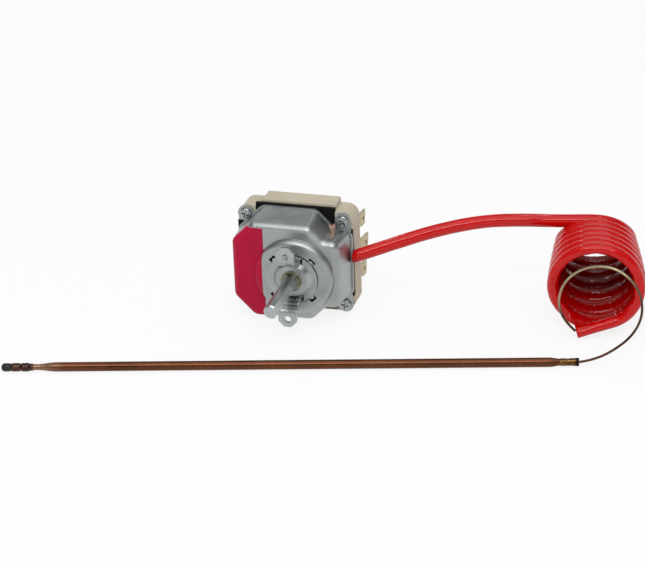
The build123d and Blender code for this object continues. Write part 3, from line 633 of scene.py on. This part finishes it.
def make_finishes(colours):
    """Every finish of the part, by the name of its slot."""
    steel, moulding = tuple(colours.steel), tuple(colours.moulding)
    return {
        "zinc_steel": finish(
            "zinc_plated_sheet", steel, 0.40, 1.0, bump=0.03, mottle=0.12, wear=0.3,
            wear_colour=shade(steel, 1.35), specks=0.06, mottle_scale=90.0),
        "bracket_steel": finish(
            "bright_plated_steel", shade(steel, 1.08), 0.31, 1.0, wear=0.25, wear_colour=shade(steel, 1.5)),
        "olive_brass": finish(
            "chromated_bushing", (0.33, 0.315, 0.225), 0.28, 1.0, grain=1500.0, mottle=0.2, wear=0.2,
            wear_colour=(0.55, 0.53, 0.42)),
        "spindle_steel": finish(
            "turned_spindle", shade(steel, 1.15), 0.34, 1.0, grain=2500.0, stretch=0.1, mottle=0.08,
            wear=0.2, wear_colour=shade(steel, 1.5)),
        "ring_steel": finish(
            "spring_ring", (0.24, 0.23, 0.18), 0.3, 1.0, mottle=0.15, wear=0.15,
            wear_colour=(0.45, 0.44, 0.36)),
        "nut_brass": finish("turned_brass", (0.50, 0.35, 0.13), 0.3, 1.0),
        "pin_steel": finish("guide_pin_steel", shade(steel, 0.9), 0.25, 1.0),
        "stainless": finish("capsule_stainless", (0.45, 0.44, 0.43), 0.32, 1.0, mottle=0.08),
        "copper_tube": capillary_material(),
        "black_insulator": finish(
            "black_board", (0.004, 0.004, 0.004), 0.6, bump=0.03, mottle=0.3, specular=0.12),
        "beige_moulding": finish(
            "beige_moulding", moulding, 0.55, grain=1100.0, bump=0.03, mottle=0.06, wear=0.25,
            wear_colour=shade(moulding, 1.2), specks=0.12, speck_colour=shade(moulding, 0.5), specular=0.3),
        "cover_moulding": finish(
            "cover_moulding", shade(moulding, 0.9), 0.5, bump=0.03, mottle=0.06, specks=0.1,
            speck_colour=shade(moulding, 0.5), specular=0.3),
        "screw_steel": finish(
            "screw_plating", shade(steel, 0.95), 0.26, 1.0, mottle=0.15, wear=0.15,
            wear_colour=shade(steel, 1.6)),
        "white_ceramic": finish("steatite", (0.62, 0.6, 0.55), 0.4, mottle=0.05),
        "bridge_moulding": finish("bridge_moulding", (0.16, 0.14, 0.11), 0.5),
        "red_sleeve": sleeve_material(tuple(colours.sleeve)),
        "dark_solder": finish(
            "sealed_tip", (0.030, 0.030, 0.032), 0.45, 0.6, grain=700.0, bump=0.08, mottle=0.3,
            specular=0.3),
        "brown_copper": bulb_material(tuple(colours.copper)),
        "filling_tube": finish("tinned_tube", (0.40, 0.27, 0.21), 0.3, 1.0, mottle=0.2),
        "collar_brass": finish(
            "brazed_collar", (0.155, 0.082, 0.028), 0.26, 1.0, bump=0.06, mottle=0.55, mottle_scale=420.0,
            dark_stretch=COLLAR_DARK_RIM),
        "terminal_plating": finish(
            "terminal_plating", (0.42, 0.34, 0.17), 0.3, 1.0, mottle=0.3, wear=0.2,
            wear_colour=(0.66, 0.60, 0.44), mottle_scale=220.0),
        "spring_bronze": finish("spring_bronze", (0.45, 0.29, 0.14), 0.3, 1.0),
        "red_film": finish(
            "crimson_film", tuple(colours.film), 0.42, grain=300.0, bump=0.03, mottle=0.08, wear=0.12,
            wear_colour=(0.50, 0.04, 0.07), mottle_scale=70.0, specular=0.2),
    }


MATERIALS = {}


def material_for(slot):
    if not MATERIALS:
        MATERIALS.update(make_finishes(bpy.context.scene.thermostat_colours))
    return MATERIALS[slot]


# Pieces


def axis_back(sizes):
    """The coil's axis, pointing to its rear."""
    return Vector((math.cos(sizes.heading), math.sin(sizes.heading), 0))


def coil_line(sizes):
    """The wound sleeve's steering points, from its rear top to its last turn."""
    steps, whole = 24, 6.0
    taper_power, fan_power = 1.3, 0.7
    tops_drop, drift = 1.7 * MM, -1.3 * MM
    outside = 1 / math.cos(math.pi / steps)
    back = axis_back(sizes)
    right = Vector((back.y, -back.x, 0))
    up = Vector((0, 0, 1))
    front = Vector((*COIL_FRONT, 0)) * MM
    front.z = TABLE + 2.4 * MM + 2 * sizes.front_radius
    points = []
    for index in range(int(sizes.turns * steps) + 1):
        turn = index / steps
        rear = max(0.0, 1 - turn / whole)
        past = max(0.0, turn - whole) / (sizes.turns - whole)
        radius = sizes.front_radius - (sizes.front_radius - sizes.back_radius) * rear ** taper_power
        radius -= (sizes.front_radius - sizes.last_radius) * past
        lean = sizes.fan * rear ** fan_power
        depth = sizes.coil_length * (1 - turn / whole)
        top = front + back * depth + right * (drift * rear) - up * (tops_drop * rear)
        tall = up * math.cos(lean) - back * math.sin(lean)
        angle = FULL_TURN * turn
        round_axis = right * math.sin(angle) + tall * math.cos(angle)
        points.append(top - radius * tall + radius * outside * round_axis)
    return points


class WoundSection:
    """Cross-section of the sleeve at each ring: round on the lead, and pressed flat in the coil until
    each turn meets the turns in front of and behind it."""

    SIDES = 28
    WIDEST, OVERLAP = 5.2 * MM, 0.12 * MM
    # Turns that the straight tail adds, and points looked at on each side for a neighbour
    TAIL_TURNS, SEARCH = 0.12, 24
    # Share of a turn in which the section turns to face its neighbours
    SETTLING = 0.4
    # Slow change of the sleeve's size, and its scale along the sleeve
    SWAY, SWAY_SCALE = 0.025, 150
    # The last stretch opens again towards the cut end, by so much in thickness and in width
    OPENING, OPEN_THICKER, OPEN_WIDER = 16 * MM, 0.1 * MM, 0.35 * MM
    # Depth of the creases outside and inside the coil in mm, and their scales
    CREASE, INNER_CREASE = 0.03, 0.22
    ALONG_SCALE, ROUND_SCALE, TURN_SCALE = 520, 1.7, 3.1

    def __init__(self, sizes, line, coil_start, blend):
        self.sizes, self.line, self.coil_start, self.blend = sizes, line, coil_start, blend
        self.back = axis_back(sizes)
        self.runs = [0.0]
        for before, after in zip(line, line[1:]):
            self.runs.append(self.runs[-1] + (after - before).length)
        self.first = next(index for index, run in enumerate(self.runs) if run > coil_start)
        self.turn = (len(line) - 1 - self.first) / (sizes.turns + self.TAIL_TURNS)
        # How much each ring's sides face into the coil, kept as the mask of the painted shade
        self.inside = {}

    def neighbour(self, index, turns):
        """The nearest point of the turn that is so many turns away, or None past the coil's ends."""
        guess = index + round(turns * self.turn)
        near = [place for place in range(guess - self.SEARCH, guess + self.SEARCH + 1, 2)
                if self.first <= place < len(self.line)]
        if not near or index < self.first:
            return None
        return min((self.line[place] for place in near), key=lambda point: (point - self.line[index]).length)

    def reach(self, index, turns, tangent, plain):
        """Direction to the next turn and half the way to it; the plain direction where there is none."""
        point = self.neighbour(index, turns)
        if point is None:
            return plain, self.sizes.wound_width
        aside = point - self.line[index]
        aside -= tangent * aside.dot(tangent)
        half = min(self.WIDEST, max(self.sizes.wound_width, aside.length / 2 + self.OVERLAP))
        return aside.normalized(), half

    def __call__(self, index):
        line, sizes, here, run = self.line, self.sizes, self.line[index], self.runs[index]
        tangent = (line[min(index + 1, len(line) - 1)] - line[max(index - 1, 0)]).normalized()
        plain = (self.back - tangent * self.back.dot(tangent)).normalized()
        share = ease(held((run - self.coil_start + self.blend) / (2 * self.blend)))
        to_rear, rear_half = self.reach(index, -1, tangent, plain)
        to_front, front_half = self.reach(index, 1, tangent, -plain)
        settled = held((index - self.first) / (self.SETTLING * self.turn))
        wide = plain.lerp((to_rear - to_front).normalized(), share * settled).normalized()
        thin = tangent.cross(wide)
        across = self.neighbour(index, 0.5) or self.neighbour(index, -0.5)
        inward = (across - here).normalized() if across is not None else Vector((0, 0, 0))
        sway = 1 + self.SWAY * noise.noise(here * self.SWAY_SCALE)
        opening = held(1 - (self.runs[-1] - run) / self.OPENING)
        half_thin = sizes.radius + (sizes.wound_radius - sizes.radius) * share
        half_thin += self.OPEN_THICKER * opening
        rear_half, front_half = (half + self.OPEN_WIDER * opening for half in (rear_half, front_half))
        offsets, self.inside[index] = [], []
        for side in range(self.SIDES):
            angle = FULL_TURN * side / self.SIDES
            pressed = rear_half if math.cos(angle) > 0 else front_half
            half_wide = sizes.radius + (pressed - sizes.radius) * share
            offset = wide * math.cos(angle) * half_wide + thin * math.sin(angle) * half_thin
            inner = max(0.0, offset.normalized().dot(inward))
            # The share that faces into the coil, which the sleeve's material darkens as painted shade
            self.inside[index].append(share * min(1.0, 2 * inner))
            fold = noise.noise(Vector((run * self.ALONG_SCALE, angle * self.ROUND_SCALE,
                                       index / self.turn * self.TURN_SCALE)))
            crease = MM * share * (self.CREASE + self.INNER_CREASE * inner) * fold
            offsets.append(offset * sway + offset.normalized() * crease)
        if index == 0:
            offsets = [Vector((0.0, offset.y, offset.z)) for offset in offsets]
        return offsets


class THERMOSTAT_OT_sleeve(bpy.types.Operator):
    """Make the red sleeve with its coil, as one cord"""

    bl_idname = "thermostat.sleeve"
    bl_label = "Sleeve and coil"

    def execute(self, context):
        sizes = context.scene.thermostat_sleeve
        resolution, flattening = 12, 14 * MM
        lead = [Vector(point) * MM for point in LEAD_ROUTE]
        coil = coil_line(sizes)
        tail_end = Vector((TAIL_END[0] * MM, TAIL_END[1] * MM, TABLE + sizes.radius))
        tail = [coil[-1].lerp(tail_end, share) for share in (0.35, 0.7, 1.0)]
        line = curve_points("sleeve_line", lead + coil + tail, resolution)
        coil_start = path_length(curve_points("lead_line", lead + coil[:2], resolution))
        section = WoundSection(sizes, line, coil_start, flattening)
        obj = swept_tube("red_sleeve", line, section)
        # The inside attribute carries the mask of the painted shade inside the coil
        shares = [share for index in range(len(line)) for share in section.inside[index]]
        obj.data.attributes.new("inside", "FLOAT", "POINT").data.foreach_set("value", shares)
        self.open_end(obj, sizes, line)
        stand_for(obj, "red_sleeve", "sleeve_lead", "sleeve_coil", "sleeve_tail")
        return {"FINISHED"}

    def open_end(self, obj, sizes, line):
        """Inset the last face and push it in, so the cut end shows its wall."""
        depth = 9 * MM
        tangent = (line[-1] - line[-2]).normalized()
        pick(obj)
        bpy.ops.object.mode_set(mode="EDIT")
        form = bmesh.from_edit_mesh(obj.data)
        bpy.ops.mesh.select_all(action="DESELECT")
        last = min(form.faces, key=lambda face: (face.calc_center_median() - line[-1]).length)
        last.select = True
        bmesh.update_edit_mesh(obj.data)
        bpy.ops.mesh.inset(thickness=sizes.wall, depth=0)
        bpy.ops.mesh.extrude_region_move(TRANSFORM_OT_translate={"value": tuple(-depth * tangent)})
        bpy.ops.object.mode_set(mode="OBJECT")


class THERMOSTAT_OT_capillary(bpy.types.Operator):
    """Make the bare capillary loop between the sleeve and the bulb"""

    bl_idname = "thermostat.capillary"
    bl_label = "Bare capillary"

    def execute(self, context):
        resolution, into_collar = 10, 0.1
        collar = bulb_place() @ Vector(((BULB_LENGTH + into_collar) * MM, 0, 0))
        route = [Vector(point) * MM for point in CAPILLARY_ROUTE] + [collar]
        curve = steered_curve("bare_capillary", route, resolution)
        curve.bevel_depth = CAPILLARY_RADIUS
        curve.bevel_resolution = 4
        curve.use_fill_caps = True
        obj = add_object("bare_capillary", curve)
        length = path_length(curve_points("capillary_line", route, resolution))
        stand_for(obj, "copper_tube", "capillary_loop")
        return {"FINISHED"}


class THERMOSTAT_OT_bulb(bpy.types.Operator):
    """Make the copper bulb with its crimped tip and brazed collar"""

    bl_idname = "thermostat.bulb"
    bl_label = "Bulb"

    def execute(self, context):
        place = bulb_place()
        self.make_tip(place)
        self.make_tube(place)
        self.make_collar(place)
        return {"FINISHED"}

    def make_tip(self, place):
        """Rounded blob of the sealed tip."""
        radius, length, nose, point = 1.7, 4.0, 1.5, 0.25
        stations = []
        for share in range(1, 9):
            angle = math.radians(90 * share / 8)
            stations.append((nose * (1 - math.cos(angle)), point + (radius - point) * math.sin(angle)))
        stations += [(2.6, radius), (3.3, radius * 0.985), (3.8, radius * 0.93), (length, radius * 0.82)]
        obj = turned_piece("bulb_tip", stations, place, 40)
        smooth(obj, 40)
        stand_for(obj, "dark_solder", "bulb_cap")

    def make_tube(self, place):
        """Two crimped lumps, a ring, a neck, the flare, the long tube and its shoulder."""
        lump_r, neck_r, waist_r = 1.82, 1.22, 1.5
        neck_end, flare, flare_end, taper, long_steps = 14.8, 7.7, 22.5, 4.0, 40
        lump = ((0.08, 0.55), (0.18, 0.86), (0.3, 1.0), (0.68, 1.0), (0.82, 0.84), (0.93, 0.5))
        stations = [(4.0, waist_r)]
        for low, high in ((4.0, 8.0), (8.0, 11.8)):
            for share, height in lump:
                stations.append((low + (high - low) * share, waist_r + (lump_r - waist_r) * height))
            stations.append((high, waist_r - 0.08))
        stations += [(12.1, 1.55), (12.9, 1.5), (13.2, neck_r + 0.05), (13.8, neck_r), (neck_end, neck_r)]
        for step in range(1, 11):
            share = step / 10
            stations.append((neck_end + flare * share, neck_r + (BULB_RADIUS - neck_r) * ease(share)))
        taper_start = BULB_LENGTH - COLLAR_LENGTH - taper
        for step in range(1, long_steps + 1):
            stations.append((flare_end + (taper_start - flare_end) * step / long_steps, BULB_RADIUS))
        for share, radius in ((0.12, 1.92), (0.4, 1.76), (0.8, 1.5), (1.0, 1.38)):
            stations.append((taper_start + taper * share, radius))
        obj = turned_piece("bulb_tube", stations, place, 48)
        reshape(obj, place, self.squeeze)
        smooth(obj, 40)
        stand_for(obj, "brown_copper", "bulb_body")

    def squeeze(self, here):
        """Flats left by the crimping jaws, and the slight unevenness of a drawn tube."""
        crimps_end, wider, flatter = 12.4, 1.04, 0.95
        tube_from, tube_to, depth, along_scale, round_scale = 20, 222, 0.012 * MM, 0.35, 0.6
        along = here.x / MM
        if along < crimps_end:
            here.y *= wider + 0.05 * math.sin(along * 3.1)
            here.z *= flatter
        radius = math.hypot(here.y, here.z)
        if radius > 1e-6 and tube_from < along < tube_to:
            wobble = depth * noise.noise(Vector((along * along_scale, here.y / MM * round_scale,
                                                 here.z / MM * round_scale)))
            here.y *= 1 + min(0.0, wobble - depth / 2) / radius
            here.z *= 1 + min(0.0, wobble - depth / 2) / radius

    def make_collar(self, place):
        """Brazed collar with facets left by the crimping jaws, a punched dimple and a flared rim."""
        start, radius = BULB_LENGTH - COLLAR_LENGTH, 1.56
        shape = ((0.2, 0.97), (0.5, 1), (1.5, 1), (2.4, 1), (2.7, 0.95), (3.0, 0.93), (3.5, 0.93),
                 (3.9, 0.96), (4.2, 1), (5.2, 1.01), (6.2, 1.03), (6.8, 1.07), (7.3, 1.1), (7.6, 1.08),
                 (7.75, 0.98), (7.8, 0.7), (7.7, 0.5))
        stations = [(start, 1.38)] + [(start + along, radius * share) for along, share in shape]
        facets_from, facets_to, facet_depth = 0.4, 6.9, 0.05
        obj = turned_piece("bulb_end_collar", stations, place, 60)

        def facet(here):
            if facets_from < here.x / MM - start < facets_to:
                factor = 1 - facet_depth * abs(math.sin(3 * math.atan2(here.z, here.y)))
                here.y *= factor
                here.z *= factor

        reshape(obj, place, facet)
        punch, punch_at, punch_turn = [(0.7, 0.4), (0.8, 0.55), (2.2, 0.7)], 3.3, math.radians(22)
        aim = Matrix.Rotation(punch_turn, 4, "X") @ Matrix.Rotation(-QUARTER_TURN, 4, "Z")
        cut_away(obj, turned_piece("punch", punch, place @ shifted(start + punch_at, 0, 0) @ aim, 24))
        smooth(obj, 40)
        stand_for(obj, "collar_brass", "bulb_collar")


class THERMOSTAT_OT_bearing(bpy.types.Operator):
    """Make the stepped bushing and the open ring that holds the spindle"""

    bl_idname = "thermostat.bearing"
    bl_label = "Bushing and ring"

    def execute(self, context):
        sleeve_steps = [(-14.0, 3.08), (-14.0, 4.5), (-10.5, 4.5), (-10.5, 5.3), (-9.1, 5.3), (-9.1, 4.55),
                        (-7.4, 4.55), (-7.2, 4.45), (-7.15, 4.3), (-7.4, 4.24), (-7.4, 4.16), (-7.0, 4.1),
                        (-6.9, 4.0), (-6.9, 3.82), (-7.0, 3.72), (-7.35, 3.66), (-7.35, 3.45),
                        (-7.0, 3.38), (-7.0, 3.2), (-7.2, 3.08), (-14.0, 3.08)]
        bushing = turned_piece("stepped_bushing", sleeve_steps, outward(0, 0), 96, hollow=True)
        smooth(bushing, 30)
        stand_for(bushing, "olive_brass", "spindle_bushing")
        ring_steps = [(-6.78, 2.55), (-6.78, 3.5), (-6.7, 3.64), (-6.55, 3.7), (-6.2, 3.7), (-6.06, 3.62),
                      (-6.0, 3.46), (-6.0, 2.72), (-6.1, 2.55), (-6.78, 2.55)]
        ring = turned_piece("open_ring", ring_steps, outward(0, 0), 96, hollow=True)
        gap_place, gap_size = (0, 6.4, 3.4), (2.2, 2.0, 2.4)
        cut_away(ring, block_tool(gap_place, gap_size, 0))
        smooth(ring, 30)
        stand_for(ring, "ring_steel", "retaining_ring", body="spindle")
        return {"FINISHED"}


class THERMOSTAT_OT_bracket_details(bpy.types.Operator):
    """Add the bracket's lugs in the bore's notches, its tab threads and the ribs of its lower riser"""

    bl_idname = "thermostat.bracket_details"
    bl_label = "Bracket details"

    def execute(self, context):
        self.make_lugs()
        self.make_threads()
        self.make_ribs()
        return {"FINISHED"}

    def make_lugs(self):
        outline = [(10.3, -0.9), (11.6, -0.9), (11.8, -0.7), (11.8, 0.7), (11.6, 0.9), (10.3, 0.9)]
        depth = Matrix.Translation((0, 10.45 * MM, 0))
        facing = Matrix.Rotation(QUARTER_TURN, 4, "X")
        lugs = []
        for quarter in range(4):
            turn = Matrix.Rotation(math.radians(45 + 90 * quarter), 4, "Y")
            lugs.append(sheet_piece("lug", outline, 0.8, 0.15, turn @ depth @ facing))
        obj = joined("bracket_lugs", lugs)
        smooth(obj, 30)
        stand_for(obj, "bracket_steel")

    def make_threads(self):
        """Thread inside each tab's hole, as grooves one pitch apart."""
        pitch, crest, valley, wall, back = 0.29, 1.38, 1.6, 1.7, -1.47
        stations = [(back, wall), (back, valley)]
        for groove in range(5):
            low = back + pitch * groove
            stations += [(low + pitch * 0.45, crest), (low + pitch * 0.55, crest), (low + pitch, valley)]
        stations += [(stations[-1][0], wall), (back, wall)]
        for name, height in (("upper_tab_thread", 14.0), ("lower_tab_thread", -14.0)):
            obj = turned_piece(name, stations, outward(0, height), 48, hollow=True)
            smooth(obj, 30)
            stand_for(obj, "bracket_steel")

    def make_ribs(self):
        """Pressed ribs across the lower riser, on its upper side."""
        across, length, pitch, height, clearance, sunk = 7.6, 6.9, 2.6, 0.22, 0.06, 0.05
        start = Vector((0, 8.35, -7.87)) * MM
        along = Vector((0, -0.97, -0.25)).normalized()
        out = Vector((0, -0.25, 0.97)).normalized()
        fresh_start()
        bpy.ops.mesh.primitive_grid_add(x_subdivisions=8, y_subdivisions=60, size=1)
        obj = bpy.context.object
        obj.name = obj.data.name = "riser_ribs"
        for vertex in obj.data.vertices:
            share = vertex.co.y + 0.5
            edge = min(1.0, 6 * share, 6 * (1 - share), 9 * (0.5 - abs(vertex.co.x)))
            rise = 0.5 - 0.5 * math.cos(FULL_TURN * share * length / pitch)
            lift = (clearance + height * rise) * max(0.0, edge) - sunk
            vertex.co = (start + Vector((vertex.co.x * across * MM, 0, 0)) + along * share * length * MM
                         + out * lift * MM)
        apply_step(obj, "SOLIDIFY", thickness=0.4 * MM, offset=-1)
        settle(obj)
        smooth(obj, 50)
        stand_for(obj, "bracket_steel")


class THERMOSTAT_OT_fittings(bpy.types.Operator):
    """Make the screws, the right-hand terminals and the pinched filling tube"""

    bl_idname = "thermostat.fittings"
    bl_label = "Screws, terminals and filling tube"

    # Each screw's place in mm and the angle to which it was tightened
    SCREWS = ((-24.7, 20.1, 20), (-24.7, -18.1, 50), (17.35, 20.1, 38), (17.35, -18.1, 8))
    # Each blade's height and the place of its tip in mm, and how much it is bent
    BLADES = ((15.0, 49.4, 0.03), (3.5, 51.0, 0.08), (-8.0, 48.9, 0.05))

    def execute(self, context):
        self.make_screws()
        for number, blade in enumerate(self.BLADES):
            self.make_terminal(number, *blade)
        self.make_filling_tube()
        return {"FINISHED"}

    def make_screws(self):
        """Pan heads with a cross recess, each turned to where it was tightened."""
        stations = [(-36.35, 1.05), (-36.1, 1.25), (-27.1, 1.25), (-27.05, 2.3), (-26.9, 2.46), (-26.5, 2.5),
                    (-26.1, 2.42), (-25.85, 2.2), (-25.7, 1.85), (-25.6, 1.3)]
        screw = turned_piece("screw", stations, outward(0, 0), 48)
        for turn in (0, QUARTER_TURN):
            cut_away(screw, block_tool((0, 25.7, 0), (0.66, 2.3, 3.3), turn))
        round_edges(screw, 0.05, 1, 50)
        screws = []
        for x, y, turn in self.SCREWS:
            copy = add_object("screw", screw.data.copy())
            copy.data.transform(shifted(x, 0, y) @ Matrix.Rotation(math.radians(turn), 4, "Y"))
            screws.append(copy)
        bpy.data.objects.remove(screw)
        obj = joined("cross_recess_screws", screws)
        smooth(obj, 35)
        stand_for(obj, "screw_steel", "housing_screws")

    def make_terminal(self, number, height, tip, bend):
        """A plated blade with square corners, its foot inside the base and its fixed contact."""
        thickness, edge, half, side, foot_y, bend_from = 0.8, 0.1, 3.15, 20.2, 31.6, 39.0
        outline = [(31.2, half), (39.0, half), (40.4, 2.2), (tip - 0.3, 1.5), (tip, 1.1), (tip - 0.8, -4.4),
                   (tip - 1.2, -4.8), (tip - 5.4, -4.6), (40.4, -half), (31.2, -half)]
        upright = Matrix(((0, 0, 1, side * MM), (1, 0, 0, 0), (0, 1, 0, height * MM), (0, 0, 0, 1)))
        blade = sheet_piece("blade", outline, thickness, edge, upright)
        drill_place = shifted(0, tip - 3.1, height - 1.7)
        cut_away(blade, turned_piece("drill", [(19.0, 0.9), (21.6, 0.9)], drill_place, 32))
        for vertex in blade.data.vertices:
            vertex.co.x += bend * max(0.0, vertex.co.y - bend_from * MM)
        lying = Matrix(((1, 0, 0, 0), (0, 0, 1, foot_y * MM), (0, 1, 0, height * MM), (0, 0, 0, 1)))
        foot = sheet_piece("foot", [(8.5, -half), (20.3, -half), (20.3, half), (8.5, half)], thickness, edge,
                           lying)
        contact = turned_piece("contact", [(-32.85, 1.0), (-32.75, 1.4), (-32.6, 1.5), (-31.9, 1.5)],
                               outward(12.0, height), 32)
        obj = joined(f"plated_terminal_{number + 1}", [blade, foot, contact])
        settle(obj)
        smooth(obj, 30)
        stand_for(obj, "terminal_plating", f"fixed_terminal_{number + 1}")

    def make_filling_tube(self):
        """The capillary system's filling tube, pinched flat where it was sealed."""
        stations = [(0.0, 0.8), (1.0, 0.8), (1.6, 0.82), (2.4, 0.9), (3.2, 0.95), (4.0, 0.95), (4.2, 0.8)]
        aim = Vector((-0.12, 0.15, 1.0)).to_track_quat("X", "Y").to_matrix().to_4x4()
        place = shifted(14.1, 23.1, 15.6) @ aim
        obj = turned_piece("pinched_filling_tube", stations, place, 24)

        pinch_from, pinch_over, wider, flatter, rounding = 1.2, 1.6, 0.55, 0.72, 0.35

        def pinch(here):
            flat = held((here.x / MM - pinch_from) / pinch_over)
            here.z *= 1 + wider * flat
            here.y *= 1 - flatter * flat
            here.x -= rounding * MM * flat * math.cos(here.z / MM * 2.0)

        reshape(obj, place, pinch)
        smooth(obj, 40)
        stand_for(obj, "brown_copper", finish_name="filling_tube")


class THERMOSTAT_OT_finish(bpy.types.Operator):
    """Give every carried-over node its finish"""

    bl_idname = "thermostat.finish"
    bl_label = "Finishes"

    def execute(self, context):
        slots = {part["node"]: part["material_slot"] for part in frame["record"]["subparts"]}
        for name, obj in frame["nodes"].items():
            material = material_for(slots[name])
            for place in obj.material_slots:
                place.material = material
            if not obj.material_slots:
                obj.data.materials.append(material)
        return {"FINISHED"}


def seen_rays(tree):
    """1 for rays of the camera and for rays that mirror or pass through, 0 for light's own."""
    rays = node(tree, "ShaderNodeLightPath").outputs
    mirrored = combine(tree, "MAXIMUM", rays["Is Camera Ray"], rays["Is Glossy Ray"])
    return combine(tree, "MAXIMUM", mirrored, rays["Is Transmission Ray"])


class THERMOSTAT_OT_studio(bpy.types.Operator):
    """Make the pale floor, the soft lamps, the surroundings and the camera"""

    bl_idname = "thermostat.studio"
    bl_label = "Studio"

    def execute(self, context):
        values = context.scene.thermostat_studio
        self.make_floor()
        self.make_surroundings(context.scene, values)
        for name, place, size, power in LAMPS:
            self.add_lamp(name, place, size, getattr(values, power))
        self.add_camera(context.scene)
        context.scene.view_settings.view_transform = "Standard"
        return {"FINISHED"}

    def make_floor(self):
        fresh_start()
        bpy.ops.mesh.primitive_plane_add(size=8.0, location=(0, 0, TABLE))
        floor = bpy.context.object
        floor.name = "studio_floor"
        bpy.ops.object.transform_apply(location=True, rotation=True, scale=True)
        material = bpy.data.materials.new("pale_paper")
        tree, output = bare_tree(material, "ShaderNodeOutputMaterial")
        paper = node(tree, "ShaderNodeBsdfDiffuse", Color=(0.9, 0.9, 0.9))
        glow = node(tree, "ShaderNodeEmission", Color=(1.0, 1.0, 1.0), Strength=1.0)
        share = combine(tree, "MULTIPLY", seen_rays(tree), FLOOR_GLOW)
        mix = node(tree, "ShaderNodeMixShader", share, paper.outputs["BSDF"], glow.outputs["Emission"])
        feed(tree, output.inputs["Surface"], mix.outputs["Shader"])
        floor.data.materials.append(material)

    def make_surroundings(self, scene, values):
        """A pale room, and the white backdrop that the camera and mirroring surfaces see."""
        scene.world = bpy.data.worlds.new("pale_room")
        tree, output = bare_tree(scene.world, "ShaderNodeOutputWorld")
        room = node(tree, "ShaderNodeBackground", Color=(0.95, 0.97, 1.0), Strength=values.world_strength)
        height = node(tree, "ShaderNodeSeparateXYZ", node(tree, "ShaderNodeTexCoord").outputs["Generated"])
        ramp = node(tree, "ShaderNodeValToRGB", height.outputs["Z"])
        stops = ramp.color_ramp.elements
        while len(stops) < len(BACKDROP):
            stops.new(0.5)
        for stop, (position, level) in zip(stops, BACKDROP):
            stop.position = position
            stop.color = (level, level, level, 1.0)
        backdrop = node(tree, "ShaderNodeBackground", Color=ramp.outputs["Color"], Strength=1.0)
        mix = node(tree, "ShaderNodeMixShader", seen_rays(tree), room.outputs["Background"],
                   backdrop.outputs["Background"])
        feed(tree, output.inputs["Surface"], mix.outputs["Shader"])

    def add_lamp(self, name, place, size, power):
        """A soft lamp that faces the part."""
        light = bpy.data.lights.new(name, "AREA")
        light.shape = "RECTANGLE"
        light.size, light.size_y = size
        light.energy = power
        aim = Vector(LAMP_TARGET) - Vector(place)
        turn = aim.to_track_quat("-Z", "Y").to_matrix().to_4x4()
        add_object(name, light).matrix_world = Matrix.Translation(place) @ turn

    def add_camera(self, scene):
        data = bpy.data.cameras.new("viewpoint")
        data.sensor_width = 36.0
        data.lens = CAMERA_LENS
        data.clip_start = 0.05
        data.clip_end = 30.0
        right = Vector(CAMERA_RIGHT).normalized()
        backward = Vector(CAMERA_BACKWARD).normalized()
        upward = backward.cross(right).normalized()
        turn = Matrix((upward.cross(backward), upward, backward)).transposed().to_4x4()
        scene.camera = add_object("viewpoint", data)
        scene.camera.matrix_world = Matrix.Translation(CAMERA_PLACE) @ turn


class THERMOSTAT_PT_panel(bpy.types.Panel):
    """Lists the thermostat's pieces and the values behind them"""

    bl_label = "Thermostat"
    bl_idname = "THERMOSTAT_PT_panel"
    bl_space_type = "VIEW_3D"
    bl_region_type = "UI"
    bl_category = "Thermostat"

    def draw(self, context):
        for operator in OPERATORS:
            self.layout.operator(operator.bl_idname)
        for name in SCENE_VALUES:
            values = getattr(context.scene, name)
            box = self.layout.box()
            for key in values.bl_rna.properties.keys():
                if key not in ("rna_type", "name"):
                    box.prop(values, key)


OPERATORS = (THERMOSTAT_OT_finish, THERMOSTAT_OT_bearing, THERMOSTAT_OT_bracket_details,
             THERMOSTAT_OT_fittings, THERMOSTAT_OT_bulb, THERMOSTAT_OT_sleeve, THERMOSTAT_OT_capillary,
             THERMOSTAT_OT_studio)
CLASSES = (*SCENE_VALUES.values(), *OPERATORS, THERMOSTAT_PT_panel)


def register():
    for entry in CLASSES:
        bpy.utils.register_class(entry)
    for name, values in SCENE_VALUES.items():
        setattr(bpy.types.Scene, name, PointerProperty(type=values))


def unregister():
    for name in SCENE_VALUES:
        delattr(bpy.types.Scene, name)
    for entry in reversed(CLASSES):
        bpy.utils.unregister_class(entry)


def main():
    register()
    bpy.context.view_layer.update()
    bpy.ops.thermostat.finish()
    bpy.ops.thermostat.bearing()
    bpy.ops.thermostat.bracket_details()
    bpy.ops.thermostat.fittings()
    bpy.ops.thermostat.bulb()
    bpy.ops.thermostat.sleeve()
    bpy.ops.thermostat.capillary()
    bpy.ops.thermostat.studio()


if __name__ == "__main__":
    main()
